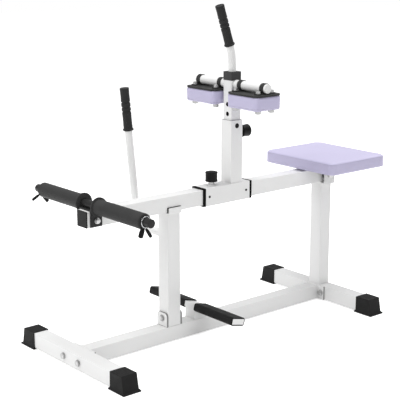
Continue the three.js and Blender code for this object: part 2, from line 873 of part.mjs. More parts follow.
function buildWeightBar() {
  const innerX = halfTube + fitGap;
  const outerX = innerX + strapWall;
  const roof = beamTop + fitGap;
  const hanger = block(-outerX, outerX, strapFrontY, strapRearY, strapBottom, roof + strapWall);
  const notch = block(-innerX, innerX, strapFrontY - tubeSize, strapRearY + tubeSize,
    strapBottom - tubeSize, roof);
  const barSeat = along(rod(weightBarRadius + fitGap, -tubeSize, tubeSize, roundSegments), "x");
  barSeat.translate(0, weightBarY, weightBarZ);
  const boltHole = along(rod(boltRadius + boltClearance, -tubeSize, tubeSize), "x");
  boltHole.translate(0, weightBarY, strapBoltZ);
  addNode("weight_bracket", shaped([hanger], [notch, barSeat, boltHole]), materials.blackPaint);

  const end = weightBarHalfLength;
  const bar = along(turned([
    [0, -end], [weightBarRadius - weightBarChamfer, -end], [weightBarRadius, -end + weightBarChamfer],
    [weightBarRadius, end - weightBarChamfer], [weightBarRadius - weightBarChamfer, end], [0, end],
  ]), "x");
  bar.translate(0, weightBarY, weightBarZ);
  addNode("weight_bar", bar, materials.blackPaint);

  const bolt = along(hexBolt(boltRadius, boltHeadAcross, boltHeadHeight, 2 * outerX, true), "x");
  bolt.translate(outerX, weightBarY, strapBoltZ);
  addNode("weight_bracket_bolt", bolt, materials.silver);
}

function buildDiscSleeve(word, sign) {
  const sleeve = along(turned([
    [discSleeveBore, discSleeveInner],
    [discFlangeRadius - discFlangeChamfer, discSleeveInner],
    [discFlangeRadius, discSleeveInner + discFlangeChamfer],
    [discFlangeRadius, discSleeveInner + discFlangeLength],
    [discSleeveRadius, discSleeveInner + discFlangeLength],
    [discSleeveRadius, discSleeveOuter - discSleeveChamfer],
    [discSleeveRadius - discSleeveChamfer, discSleeveOuter],
    [discSleeveBore, discSleeveOuter],
    [discSleeveBore, discSleeveInner],
  ]), sign > 0 ? "x" : "-x");
  sleeve.translate(0, weightBarY, weightBarZ);
  addNode(`disc_sleeve_${word}`, sleeve, materials.black);
}

// A spring clip: one wire coiled round the bar, with both ends carried down as handles
function clipRoute(sign, ends) {
  const [innerFrom, innerWay, outerFrom, outerWay] = ends.map(THREE.MathUtils.degToRad);
  const start = clipInner + clipWireRadius;
  const sweep = sign * 2 * Math.PI * clipTurns + outerFrom - innerFrom;
  const turns = Math.abs(sweep) / (2 * Math.PI);
  const steps = Math.round(turns * clipStepsPerTurn);
  const coilLength = clipPitch * turns;
  const place = (radius, angle, x) => new THREE.Vector3(
    sign * x, weightBarY + radius * Math.sin(angle), weightBarZ - radius * Math.cos(angle));
  const handle = (from, way, x, lean) => clipHandleShares.map((part) => {
    const run = new THREE.Vector3(sign * lean, Math.sin(way), -Math.cos(way));
    return place(clipCoilRadius, from, x).addScaledVector(run, share(clipHandleLength, part));
  });
  const points = handle(innerFrom, innerWay, start, clipInnerLean);
  for (let step = 0; step <= steps; step += 1) {
    const turn = step / steps;
    points.push(place(clipCoilRadius, innerFrom + turn * sweep, start + turn * coilLength));
  }
  points.push(...handle(outerFrom, outerWay, start + coilLength, clipOuterLean).reverse());
  return points;
}

// The least clear space between stretches of one wire that aren't neighbours along it
function leastSelfGap(points, radius) {
  const path = new THREE.CatmullRomCurve3(points);
  const samples = path.getSpacedPoints(wireSamples);
  const spacing = path.getLength() / wireSamples;
  const skip = Math.ceil(neighbourRadii * radius / spacing);
  let least = Infinity;
  for (let i = 0; i < samples.length; i += 1) {
    for (let j = i + skip; j < samples.length; j += 1) {
      least = Math.min(least, samples[i].distanceTo(samples[j]));
    }
  }
  return least - 2 * radius;
}

function buildClip(word, sign) {
  const points = clipRoute(sign, clipEnds[word]);
  const gap = leastSelfGap(points, clipWireRadius);
  console.log(`spring_clip_${word}: least gap of the wire to itself ${gap.toFixed(2)} mm`);
  const wire = sweptTube(new StationPath(points), clipWireRadius, 0, clipWireSides);
  addNode(`spring_clip_${word}`, wire, materials.chrome);
}

// A padded cushion from a flat back at zero: upright sides to the edge, then a rounded crown
function cushionGeometry(width, depth, corner, edge, crown, edgeRound) {
  const outline = roundedOutline(width, depth, corner).getSpacedPoints(cushionPoints).slice(0, cushionPoints);
  const rise = crown - edge;
  const levels = [
    [0, share(edgeRound, 0.1)],
    [share(edge, 0.08), 0],
    [edge, 0],
    [edge + share(rise, 0.35), share(edgeRound, 0.28)],
    [edge + share(rise, 0.62), share(edgeRound, 0.95)],
    [edge + share(rise, 0.84), share(edgeRound, 2.8)],
  ];
  const half = new THREE.Vector2(width / 2, depth / 2);
  const positions = [];
  for (const [height, inset] of levels) {
    for (const point of outline) {
      positions.push(point.x * (1 - inset / half.x), point.y * (1 - inset / half.y), height);
    }
  }
  const count = outline.length;
  const backCentre = positions.length / 3;
  positions.push(0, 0, 0);
  const crownCentre = backCentre + 1;
  positions.push(0, 0, crown);
  const faces = [];
  for (let i = 0; i < count; i += 1) {
    const next = (i + 1) % count;
    faces.push(backCentre, next, i);
    for (let level = 0; level < levels.length - 1; level += 1) {
      const low = level * count;
      const high = low + count;
      faces.push(low + i, low + next, high + next, low + i, high + next, high + i);
    }
    const last = (levels.length - 1) * count;
    faces.push(last + i, last + next, crownCentre);
  }
  const geometry = new THREE.BufferGeometry();
  geometry.setAttribute("position", new THREE.Float32BufferAttribute(positions, 3));
  geometry.setIndex(faces);
  return geometry;
}

function buildSeat() {
  const middleY = (seatFrontY + seatRearY) / 2;
  const width = 2 * seatHalfWidth;
  const depth = seatRearY - seatFrontY;
  const plate = roundedBar(share(width, seatPlateShare), share(depth, seatPlateShare),
    seatCornerRadius, seatPlateThickness);
  plate.translate(0, middleY, beamTop);
  addNode("seat_plate", plate, materials.black);
  const cushion = cushionGeometry(width, depth, seatCornerRadius,
    seatSideHeight, seatTop - seatBottom, share(seatCornerRadius, 0.3));
  cushion.translate(0, middleY, seatBottom);
  addNode("seat_cushion", cushion, materials.cushion);
}

// Carriage: a square sleeve on the lever with the outer upright welded on top
function buildCarriage() {
  const middleZ = (beamTop + beamBottom) / 2;
  const top = middleZ + carriageSize / 2;
  const weldDepth = share(carriageWall, 0.5);
  const sleeve = squareTube("y", carriageFrontY, carriageRearY, 0, middleZ, carriageSize, carriageWall);
  const upright = squareTube("z", top - weldDepth, uprightTop, 0, uprightY, tubeSize, uprightWall);
  const uprightFace = uprightY + halfTube;
  const topBoss = rod(bossRadius, top - weldDepth, top + bossHeight, roundSegments);
  topBoss.translate(0, carriageKnobY, 0);
  const backBoss = along(
    rod(bossRadius, uprightFace - weldDepth, uprightFace + bossHeight, roundSegments), "y");
  backBoss.translate(0, 0, uprightKnobZ);
  const holeRadius = barrelSpigotRadius + fitGap;
  const topHole = rod(holeRadius, top - 2 * carriageWall, top + 2 * bossHeight);
  topHole.translate(0, carriageKnobY, 0);
  const backHole = along(rod(holeRadius, uprightFace - 2 * uprightWall, uprightFace + 2 * bossHeight), "y");
  backHole.translate(0, 0, uprightKnobZ);
  const sideHole = along(rod(uprightHoleRadius, -tubeSize, tubeSize), "x");
  sideHole.translate(0, uprightY, uprightHoleZ);
  const cut = [topHole, backHole, sideHole];
  for (const y of [screwFrontY, screwRearY]) {
    const start = carriageSize / 2 - 2 * carriageWall;
    const hole = along(rod(screwRadius + boltClearance, start, carriageSize), "x");
    hole.translate(0, y, screwZ);
    cut.push(hole);
  }
  addNode("carriage", shaped([sleeve, upright, topBoss, backBoss], cut), materials.frame);

  const trimInner = halfTube + fitGap;
  const trims = [
    { name: "carriage_trim_front", start: carriageFrontY - trimLength },
    { name: "carriage_trim_rear", start: carriageRearY },
  ];
  for (const { name, start } of trims) {
    const outer = along(roundedBar(carriageSize, carriageSize, tubeCorner, trimLength), "y");
    outer.translate(0, start, middleZ);
    const hole = block(-trimInner, trimInner, start - tubeWall, start + trimLength + tubeWall,
      beamBottom - fitGap, beamTop + fitGap);
    addNode(name, shaped([outer], [hole]), materials.black);
  }

  const screws = [
    { name: "carriage_screw_front", y: screwFrontY },
    { name: "carriage_screw_rear", y: screwRearY },
  ];
  for (const { name, y } of screws) {
    const face = carriageSize / 2;
    const screw = along(turned([
      [0, face - carriageWall], [screwRadius, face - carriageWall], [screwRadius, face],
      [screwHeadRadius, face], [screwHeadRadius, face + share(screwHeadHeight, 0.7)],
      [share(screwHeadRadius, 0.7), face + screwHeadHeight], [0, face + screwHeadHeight],
    ], shankSegments), "x");
    screw.translate(0, y, screwZ);
    addNode(name, screw, materials.blackPaint);
  }

  const carriageDepth = top - beamTop - fitGap;
  const uprightDepth = halfTube - innerSize / 2 - fitGap;
  buildKnob("carriage", new THREE.Vector3(0, carriageKnobY, top), "z", carriageWall, carriageDepth);
  buildKnob("upright", new THREE.Vector3(0, uprightFace, uprightKnobZ), "y", uprightWall, uprightDepth);
}

// A pull pin: a threaded barrel in the wall's boss, and a knob whose pin runs through it
function buildKnob(name, wallPoint, axis, wall, pinDepth) {
  const barrelTop = bossHeight + barrelHeight;
  const barrel = shaped([
    rod(barrelSpigotRadius, -wall, bossHeight + share(barrelHeight, 0.5), roundSegments),
    hexagon(barrelAcross, bossHeight, barrelTop),
  ], [rod(barrelBore, -2 * wall, 2 * barrelTop)]);
  const knobStart = barrelTop + fitGap;
  const knobEnd = knobStart + knobLength;
  const waist = knobRadius - knobWaist;
  const knob = turned([
    [0, -pinDepth], [share(pinRadius, 0.7), -pinDepth], [pinRadius, -pinDepth + share(pinRadius, 0.3)],
    [pinRadius, knobStart],
    [knobRadius - knobWaist, knobStart],
    [knobRadius, knobStart + knobWaist],
    [knobRadius, knobStart + knobWaistLength],
    [waist, knobStart + knobWaistLength + knobWaist],
    [waist, knobEnd - knobWaistLength],
    [knobRadius, knobEnd - share(knobWaistLength, 0.6)],
    [knobRadius, knobEnd - knobDome],
    [share(knobRadius, 0.88), knobEnd],
    [share(knobRadius, 0.6), knobEnd + share(knobDome, 0.7)],
    [0, knobEnd + knobDome],
  ], mediumSegments);
  for (const geometry of [barrel, knob]) {
    along(geometry, axis);
    geometry.translate(wallPoint.x, wallPoint.y, wallPoint.z);
  }
  addNode(`${name}_pin_barrel`, barrel, materials.silver);
  addNode(`${name}_pull_knob`, knob, materials.black);
}

// Height post with its holes, cap and bent handle, and the cross tube through it
function buildHeightPost() {
  const tube = squareTube("z", innerBottom, innerTop, 0, uprightY, innerSize, innerWall, innerCorner);
  const cut = [];
  for (let hole = 0; hole < heightHoleCount; hole += 1) {
    const pin = along(rod(heightHoleRadius, -tubeSize, tubeSize), "y");
    pin.translate(0, uprightY, heightHoleTop - hole * heightHolePitch);
    cut.push(pin);
  }
  const crossHole = along(rod(crossTubeRadius + fitGap, -tubeSize, tubeSize, roundSegments), "x");
  crossHole.translate(0, uprightY, crossTubeZ);
  cut.push(crossHole);
  addNode("height_post", shaped([tube], cut), materials.frame);

  const capBlock = roundedBar(capBlockSize, capBlockSize, capBlockCorner, capBlockTop - innerTop);
  capBlock.translate(0, uprightY, innerTop);
  const handleStart = innerTop + capBlockFloor;
  const bore = rod(handleTubeRadius + fitGap, handleStart, capBlockTop + tubeSize, roundSegments);
  bore.translate(0, uprightY, 0);
  addNode("height_post_cap", shaped([capBlock], [bore]), materials.black);

  const leanY = -Math.sin(upperLean);
  const leanZ = Math.cos(upperLean);
  const tangent = upperBendRadius * Math.tan(upperLean / 2);
  const corner = new THREE.Vector3(0, uprightY, upperBendStart + tangent);
  const lean = new THREE.Vector3(0, leanY, leanZ);
  const gripStart = corner.clone().addScaledVector(lean, tangent);
  const top = gripStart.clone().addScaledVector(lean, upperGripLength);
  const tubeEnd = top.clone().addScaledVector(lean, -gripTubeEnd - fitGap);
  const start = new THREE.Vector3(0, uprightY, handleStart);
  const path = new StationPath(bentStations(new BentPath(start, corner, tubeEnd, upperBendRadius)));
  const handle = sweptTube(path, handleTubeRadius, handleTubeRadius - handleTubeWall);
  addNode("upper_handle", handle, materials.frame);
  addNode("upper_grip", aimed(gripGeometry(upperGripLength, handleTubeRadius + fitGap), gripStart, lean),
    materials.rubber);

  const cross = along(rod(crossTubeRadius, -crossTubeHalfLength, crossTubeHalfLength, roundSegments), "x");
  cross.translate(0, uprightY, crossTubeZ);
  addNode("cross_tube", cross, materials.frame);
}

function buildThighPad(word, sign) {
  const width = padOuterX - padInnerX;
  const depth = padRearY - padFrontY;
  const middleX = (padInnerX + padOuterX) / 2;
  const middleY = (padFrontY + padRearY) / 2;
  const crown = share(padThickness, padCrownShare);
  const holes = (radius) => {
    const list = [];
    for (const x of clampCentres) {
      for (const end of [-1, 1]) {
        const hole = rod(radius, padBottom - tubeSize, clampFootTop + tubeSize, smallSegments);
        hole.translate(sign * x, middleY + end * padBoltOffset, 0);
        list.push(hole);
      }
    }
    return list;
  };

  const cushion = cushionGeometry(width, depth, padCorner, padThickness - crown, padThickness,
    share(padCorner, 0.2));
  along(cushion, "-z");
  cushion.translate(sign * middleX, middleY, padTop);
  const bored = shaped([cushion], holes(padBoltRadius + 2 * boltClearance));
  addNode(`thigh_cushion_${word}`, bored, materials.cushion);

  const plate = roundedBar(width, depth, padCorner, padPlateThickness);
  plate.translate(sign * middleX, middleY, padTop + fitGap);
  const joined = [plate];
  const bores = [];
  for (const x of clampCentres) {
    const x0 = sign * x - clampWidth / 2;
    const ring = along(rod(clampOuterRadius, 0, clampWidth, roundSegments), "x");
    ring.translate(x0, uprightY, crossTubeZ);
    joined.push(ring);
    joined.push(block(x0, x0 + clampWidth, middleY - clampFootReach, middleY + clampFootReach,
      padPlateTop - share(clampFootThickness, 0.5), clampFootTop));
    const bore = along(rod(clampBore, -clampWidth, 2 * clampWidth, roundSegments), "x");
    bore.translate(x0, uprightY, crossTubeZ);
    bores.push(bore);
  }
  addNode(`pad_carrier_${word}`, shaped(joined, [...bores, ...holes(padBoltRadius + boltClearance)]),
    materials.blackPaint);

  let number = 1;
  for (const x of clampCentres) {
    for (const end of [-1, 1]) {
      const bolt = shaped([
        rod(padBoltRadius, padBottom - share(padNutHeight, 0.5),
          clampFootTop + share(padBoltHeadHeight, 0.5), smallSegments),
        turned([
          [0, clampFootTop], [padBoltHeadAcross / 2, clampFootTop],
          [padBoltHeadAcross / 2, clampFootTop + share(padBoltHeadHeight, 0.6)],
          [share(padBoltHeadAcross, 0.33), clampFootTop + padBoltHeadHeight],
          [0, clampFootTop + padBoltHeadHeight],
        ], shankSegments),
        hexagon(padNutAcross, padBottom - fitGap - padNutHeight, padBottom - fitGap),
      ]);
      bolt.translate(sign * x, middleY + end * padBoltOffset, 0);
      addNode(`pad_bolt_${word}_${number}`, bolt, materials.silver);
      number += 1;
    }
  }
}

buildFoot("front_foot", frontFootY, -1);
buildFoot("rear_foot", rearFootY, 1);
for (const { word, sign } of sides) {
  buildCap(`front_cap_${word}`, frontFootY, sign);
  buildCap(`rear_cap_${word}`, rearFootY, sign);
}
buildSpine();
buildFrontPost();
buildSideHandle();
buildFootrest();
buildRearPost();
buildBeam();
buildWeightBar();
for (const { word, sign } of sides) {
  buildDiscSleeve(word, sign);
}
for (const { word, sign } of sides) {
  buildClip(word, sign);
}
buildSeat();
buildCarriage();
buildHeightPost();
for (const { word, sign } of sides) {
  buildThighPad(word, sign);
}
console.log(`${group.children.length} nodes, ${triangleCount} triangles`);

export default group;
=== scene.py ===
"""Seated calf raise machine: finishes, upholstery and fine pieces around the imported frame."""

import json
from math import cos, pi, radians, sin, tan, tau

import bmesh
import bpy
from mathutils import Matrix, Vector
from mathutils.bvhtree import BVHTree


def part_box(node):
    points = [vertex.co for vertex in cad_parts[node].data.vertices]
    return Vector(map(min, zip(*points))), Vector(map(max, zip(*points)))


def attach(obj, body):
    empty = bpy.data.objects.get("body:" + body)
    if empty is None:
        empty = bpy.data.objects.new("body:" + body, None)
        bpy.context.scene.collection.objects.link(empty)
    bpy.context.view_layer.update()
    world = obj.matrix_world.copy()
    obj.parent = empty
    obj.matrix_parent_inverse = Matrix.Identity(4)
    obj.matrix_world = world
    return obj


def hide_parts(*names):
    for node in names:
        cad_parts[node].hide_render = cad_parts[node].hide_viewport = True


MM = 0.001
UP = Vector((0, 0, 1))
ALONG = Vector((0, 1, 0))
ACROSS = Vector((1, 0, 0))
SIDES = {"left": -1, "right": 1}

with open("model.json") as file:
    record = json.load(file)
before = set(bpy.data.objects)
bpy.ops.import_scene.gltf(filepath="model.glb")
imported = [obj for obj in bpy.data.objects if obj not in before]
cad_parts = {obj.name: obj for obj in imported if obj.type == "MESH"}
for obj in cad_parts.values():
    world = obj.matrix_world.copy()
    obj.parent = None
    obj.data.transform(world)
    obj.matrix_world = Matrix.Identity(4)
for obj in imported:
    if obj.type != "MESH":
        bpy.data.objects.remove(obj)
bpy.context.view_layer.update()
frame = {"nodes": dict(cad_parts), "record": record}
nodes = frame["nodes"]
scene = bpy.context.scene

# Sizes and places that several pieces share, in millimetres, with y from the front foot's face

PLAN_CENTRE = 612.75
TUBE = 50
HALF_TUBE = TUBE / 2
TUBE_CORNER = 1.6
FIT_GAP = 0.3
SPINE_TOP = 53.2
SPINE_MIDDLE = SPINE_TOP - HALF_TUBE
FRONT_POST_Y = 385
SIDE_HANDLE_Z = 351
BEAM_MIDDLE = 460
PIVOT_Y = 1079
CARRIAGE_SIZE = 60
SLEEVE_TOP = BEAM_MIDDLE + CARRIAGE_SIZE / 2
UPRIGHT_Y = 650
POST_SIZE = 40
CROSS_TUBE_Z = 815
BAR_Y = 87.6
BAR_Z = 498.7
SEAT_SEAM = 526.8
PAD_SEAM = 753.5


def at(x, y, z):
    """A point in metres, from millimetres with y counted from the front foot's face."""
    return Vector((x, y - PLAN_CENTRE, z)) * MM


PULL_PINS = {
    "carriage": (at(0, 562, SLEEVE_TOP), UP),
    "upright": (at(0, UPRIGHT_Y + HALF_TUBE, 655), ALONG),
}


# Graphs of nodes, for materials and for Geometry Nodes alike

class Value:
    """One socket of a graph; the operators add the Math nodes that work the expression out."""

    def __init__(self, graph, socket):
        self.graph = graph
        self.socket = socket

    def _math(self, operation, first, second=0.0):
        return self.graph.node("ShaderNodeMath", {0: first, 1: second}, operation=operation)[0]

    def __add__(self, other):
        return self._math("ADD", self, other)

    def __sub__(self, other):
        return self._math("SUBTRACT", self, other)

    def __mul__(self, other):
        return self._math("MULTIPLY", self, other)

    def __rsub__(self, other):
        return self._math("SUBTRACT", other, self)

    def size(self):
        """The value without its sign."""
        return self._math("ABSOLUTE", self)

    def at_least(self, other):
        return self._math("MAXIMUM", self, other)

    def length_with(self, other):
        """The long side of the right triangle on two values."""
        return self._math("SQRT", self * self + other * other)

    def above(self, edge, softness):
        """0 below the edge and 1 above it, with a soft step between."""
        sockets = {"Value": self, "From Min": edge - softness, "From Max": edge + softness}
        return self.graph.node("ShaderNodeMapRange", sockets, interpolation_type="SMOOTHSTEP")[0]


class Outputs:
    """The outputs of one node, read by name or number."""

    def __init__(self, graph, made):
        self.graph = graph
        self.made = made

    def __getitem__(self, name):
        return Value(self.graph, self.made.outputs[name])


class Graph:
    """Adds nodes to a tree, with the values or links of their sockets and their settings."""

    def __init__(self, tree):
        self.tree = tree

    def node(self, kind, sockets=None, **settings):
        made = self.tree.nodes.new(kind)
        for name, value in settings.items():
            setattr(made, name, value)
        for name, value in (sockets or {}).items():
            if isinstance(value, Value):
                self.tree.links.new(value.socket, made.inputs[name])
            else:
                made.inputs[name].default_value = value
        return Outputs(self, made)


FINISHES = {}


class Finish(Graph):
    """A material on Object coordinates with one Principled surface, kept in FINISHES."""

    def __init__(self, name, colour, roughness, metallic=0.0):
        material = FINISHES[name] = bpy.data.materials.new(name)
        material.use_nodes = True
        super().__init__(material.node_tree)
        self.surface = next(n for n in self.tree.nodes if n.type == "BSDF_PRINCIPLED")
        self.fixed({"Base Color": (*colour, 1), "Roughness": roughness, "Metallic": metallic})
        self.place = self.node("ShaderNodeTexCoord")["Object"]

    def axes(self):
        """The place's x, y and z, each as a value."""
        split = self.node("ShaderNodeSeparateXYZ", {0: self.place})
        return split["X"], split["Y"], split["Z"]

    def fixed(self, values):
        for name, value in values.items():
            self.surface.inputs[name].default_value = value

    def feed(self, name, value):
        self.tree.links.new(value.socket, self.surface.inputs[name])

    def noise(self, scale, detail=2.0, rough=0.5, place=None):
        """Noise with so many waves to the metre."""
        sockets = {"Vector": place or self.place, "Scale": scale, "Detail": detail, "Roughness": rough}
        return self.node("ShaderNodeTexNoise", sockets)["Fac"]

    def cells(self, scale, feature="F1"):
        """Pebbles, so many to the metre."""
        return self.node("ShaderNodeTexVoronoi", {"Vector": self.place, "Scale": scale}, feature=feature)[0]

    def tones(self, factor, colour, low, high):
        """A colour from its low tone, where the factor is 0, to its high tone."""
        return self.over(factor, (*toned(colour, low), 1), toned(colour, high))

    def over(self, factor, first, second):
        """A worked-out colour, covered by a plain one where the factor is 1."""
        return self.node("ShaderNodeMix", {0: factor, 6: first, 7: (*second, 1)}, data_type="RGBA")[2]

    def bumped(self, height, distance, strength):
        sockets = {"Height": height, "Distance": distance, "Strength": strength}
        self.feed("Normal", self.node("ShaderNodeBump", sockets)["Normal"])

    def fed(self, colour, roughness, *bump):
        self.feed("Base Color", colour)
        self.feed("Roughness", roughness)
        self.bumped(*bump)


def toned(colour, factor):
    return tuple(channel * factor for channel in colour)


# Finishes

def grey(level):
    return (level, level, level)


WHITE_COAT = (0.82, 0.82, 0.815)
RUBBER_BLACK = grey(0.0098)
PAINT_BLACK = grey(0.024)
# Painted shade on the edges of the spine's ears and flanges and along the ears' feet.
PAINTED_EDGE_SHADE = grey(0.20)
# Painted shade on the inner walls of the upright and the height post.
PAINTED_TUBE_SHADE = grey(0.03)
ZINC = grey(0.46)
CHROME = (0.50, 0.51, 0.52)
LAVENDER = (0.525, 0.494, 0.682)


def powder_coat(name, painted_shade=None, shade_colour=PAINTED_EDGE_SHADE):
    """Gloss white coat: orange peel, faint clouds and specks, and painted shade in a darker colour where a
    function of the finish says so.
    """
    finish = Finish(name, WHITE_COAT, 0.34)
    peel = finish.noise(520, 3.0, 0.5)
    cloud = finish.noise(6, 3.0, 0.6)
    specks = finish.noise(1100, 1.0, 0.5).above(0.72, 0.04)
    coat = finish.tones(cloud * 0.5 + specks * 0.25, WHITE_COAT, 1, 0.95)
    # Painted shade: where the mask is 1, the coat gives way to a darker colour for the shade that falls
    # there.
    if painted_shade:
        coat = finish.over(painted_shade(finish), coat, shade_colour)
    finish.fed(coat, cloud * 0.12 + peel * 0.06 + 0.24, peel, 0.00010, 0.30)
    finish.fixed({"Coat Weight": 0.2, "Coat Roughness": 0.15})


EDGE_BLUR = 0.2 * MM
HAIR = 0.05 * MM


def spine_painted_shade(finish):
    """1 where shade is painted: on the cut edges of the spine's ears and flanges, and along the feet of the
    ears.
    """
    x, y, z = finish.axes()
    ear_top, corner, ears_half_span, foot_top = 99.2 * MM, 12 * MM, 31.8 * MM, (SPINE_TOP + 1.2) * MM
    flanges_middle, flanges_half_span, flange_end = at(0, 552.1, 0).y, 496.8 * MM, 54 * MM
    past_x = (x.size() - (HALF_TUBE * MM - corner)).at_least(0.0)
    past_z = (z - (ear_top - corner)).at_least(0.0)
    rim = past_x.length_with(past_z).above(corner - 3 * EDGE_BLUR, EDGE_BLUR)
    foot = 1.0 - z.above(foot_top, 6 * HAIR)
    off_ears = (y - at(0, FRONT_POST_Y, 0).y).size().above(ears_half_span, EDGE_BLUR)
    above_spine = z.above(SPINE_TOP * MM + HAIR, HAIR)
    on_flanges = (y - flanges_middle).size().above(flanges_half_span, EDGE_BLUR)
    flange_edge = x.size().above(flange_end - 5 * HAIR, 2 * HAIR).at_least(above_spine)
    return (rim.at_least(foot) * (1.0 - off_ears) * above_spine).at_least(on_flanges * flange_edge)


def inside_of(size, lowest):
    """Says where a square tube round the upright's axis is seen from its inside, above a height: there the
    coat is darkened as painted shade.
    """
    def inside(finish):
        x, y, z = finish.axes()
        out = x.size().at_least((y - at(0, UPRIGHT_Y, 0).y).size())
        return (1.0 - out.above((size / 2 - 0.7) * MM, EDGE_BLUR)) * z.above(lowest * MM, EDGE_BLUR)
    return inside


def rubber():
    """Moulded black rubber: fine stipple with a faint bloom in places."""
    finish = Finish("black_rubber", RUBBER_BLACK, 0.66)
    stipple = finish.cells(1500)
    bloom = finish.noise(22, 4.0, 0.6).above(0.56, 0.12)
    finish.fed(finish.tones(bloom * 0.6, RUBBER_BLACK, 1, 1.8), bloom * 0.16 + 0.56, stipple, 0.00018, 0.5)
    finish.fixed({"Specular IOR Level": 0.14})


def moulded_plastic(name, colour, shine):
    """Black moulded plastic with a spark-eroded grain, worn a little greyer in places."""
    finish = Finish(name, colour, 0.42)
    grain = finish.noise(1700, 2.0, 0.6)
    wear = finish.noise(16, 3.0, 0.55).above(0.58, 0.14)
    roughness = wear * 0.12 + grain * 0.10 + 0.34
    finish.fed(finish.tones(wear * 0.5, colour, 1, 1.3), roughness, grain, 0.00016, 0.45)
    finish.fixed({"Specular IOR Level": shine})


def black_paint():
    """Semi-gloss black paint on steel, thinner and greyer in patches."""
    finish = Finish("black_painted_steel", PAINT_BLACK, 0.36)
    peel = finish.noise(560, 3.0, 0.5)
    thin = finish.noise(45, 5.0, 0.65).above(0.66, 0.06)
    roughness = peel * 0.10 + thin * 0.14 + 0.28
    finish.fed(finish.tones(thin * 0.5, PAINT_BLACK, 1, 2), roughness, peel, 0.00012, 0.4)
    finish.fixed({"Specular IOR Level": 0.14})


def zinc_plate():
    """Bright zinc plating with a mottled passivation."""
    finish = Finish("zinc_steel", ZINC, 0.34, 1.0)
    mottle = finish.noise(160, 4.0, 0.6)
    smear = finish.noise(40, 2.0, 0.5)
    roughness = smear * 0.20 + mottle * 0.08 + 0.20
    finish.fed(finish.tones(mottle, ZINC, 0.80, 1.20), roughness, mottle, 0.00008, 0.4)


def chrome_wire():
    """Chromed wire with fine draw lines along it."""
    finish = Finish("chrome_wire", CHROME, 0.16, 1.0)
    stretched = {0: finish.place, 1: (1, 6, 6)}
    place = finish.node("ShaderNodeVectorMath", stretched, operation="MULTIPLY")[0]
    lines = finish.noise(260, 2.0, 0.5, place)
    finish.feed("Base Color", finish.tones(lines, CHROME, 0.84, 1.16))
    finish.feed("Roughness", lines * 0.16 + 0.10)


def upholstery(name, seam_height):
    """Soft lavender vinyl with a pebbled grain, and a sewn seam round its sides at one height, darkened there
    with painted shade.
    """
    finish = Finish(name, LAVENDER, 0.50)
    pebble = finish.cells(700, "SMOOTH_F1")
    fine = finish.noise(2100, 2.0, 0.6)
    cloud = finish.noise(9, 3.0, 0.6)
    crease = finish.noise(55, 5.0, 0.7)
    seam = 1.0 - (finish.axes()[2] - seam_height * MM).size().above(0.7 * MM, 0.4 * MM)
    tone = finish.tones(cloud * 0.7 + pebble * 0.25, LAVENDER, 0.95, 1.05)
    relief = pebble * 0.5 + fine * 0.2 + crease * 0.3 - seam * 1.5
    # Painted shade: the vinyl's colour is darker along the seam's crease.
    colour = finish.over(seam * 0.5, tone, toned(LAVENDER, 0.62))
    finish.fed(colour, cloud * 0.10 + pebble * 0.10 + 0.42, relief, 0.0004, 0.5)
    finish.fixed({"Sheen Weight": 0.08, "Sheen Roughness": 0.5})


def thread():
    """Twisted sewing thread, a shade deeper than the vinyl."""
    finish = Finish("lavender_thread", toned(LAVENDER, 0.75), 0.6)
    twist = finish.noise(2600, 1.0, 0.5)
    finish.feed("Base Color", finish.tones(twist, LAVENDER, 0.62, 0.92))
    finish.bumped(twist, 0.0001, 0.5)


powder_coat("white_powder_coat")
# The spine's coat has painted shade on its ear and flange edges and at the ears' feet.
powder_coat("eared_coat", spine_painted_shade)
# The upright's and the height post's inner walls get painted shade.
powder_coat("upright_coat", inside_of(TUBE, SLEEVE_TOP + 2), PAINTED_TUBE_SHADE)
powder_coat("post_coat", inside_of(POST_SIZE, 0), PAINTED_TUBE_SHADE)
rubber()
for finish_name, blackness, shine in (
    ("black_plastic", 0.004, 0.14), ("satin_plastic", 0.046, 0.03), ("grip_rubber", 0.027, 0.10),
    ("bush_black", 0.004, 0.03), ("cap_plastic", 0.062, 0.03),
):
    moulded_plastic(finish_name, grey(blackness), shine)
black_paint()
zinc_plate()
chrome_wire()
upholstery("seat_vinyl", SEAT_SEAM)
upholstery("pad_vinyl", PAD_SEAM)
thread()
FINISHES["lavender_vinyl"] = FINISHES["seat_vinyl"]
SLOT_OF = {row["node"]: row["material_slot"] for row in frame["record"]["subparts"]}
BODY_OF = {
    node: body for body, members in frame["record"]["behaviour"]["bodies"].items() for node in members}

for node_name, node in nodes.items():
    node.data.materials.clear()
    node.data.materials.append(FINISHES[SLOT_OF[node_name]])


# Making, placing and registering pieces

def placed(name, data):
    holder = bpy.data.objects.new(name, data)
    scene.collection.objects.link(holder)
    return holder


def registered(name, mesh, body, slot, stands_for=(), finish=None):
    """A piece that rides on a body and takes a slot's finish."""
    piece = placed(name, mesh)
    mesh.name = name
    mesh.materials.clear()
    mesh.materials.append(FINISHES[finish or slot])
    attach(piece, body)
    if stands_for:
        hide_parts(*stands_for)
    return piece


def stand_in(name, mesh, *members, finish=None):
    """A piece in place of CAD nodes, on their body and in their slot."""
    return registered(name, mesh, BODY_OF[members[0]], SLOT_OF[members[0]], members, finish)


def smoothed(mesh, angle=40):
    mesh.polygons.foreach_set("use_smooth", [True] * len(mesh.polygons))
    mesh.set_sharp_from_angle(angle=radians(angle))
    return mesh


def evaluated(holder):
    """The mesh of an object with its modifiers worked out."""
    graph = bpy.context.evaluated_depsgraph_get()
    return bpy.data.meshes.new_from_object(holder.evaluated_get(graph))


def with_modifiers(mesh, *modifiers):
    """The mesh after modifiers, each a name, a type and settings."""
    holder = placed("work", mesh)
    for label, kind, settings in modifiers:
        modifier = holder.modifiers.new(label, kind)
        for key, value in settings.items():
            setattr(modifier, key, value)
    made = evaluated(holder)
    bpy.data.objects.remove(holder)
    return made


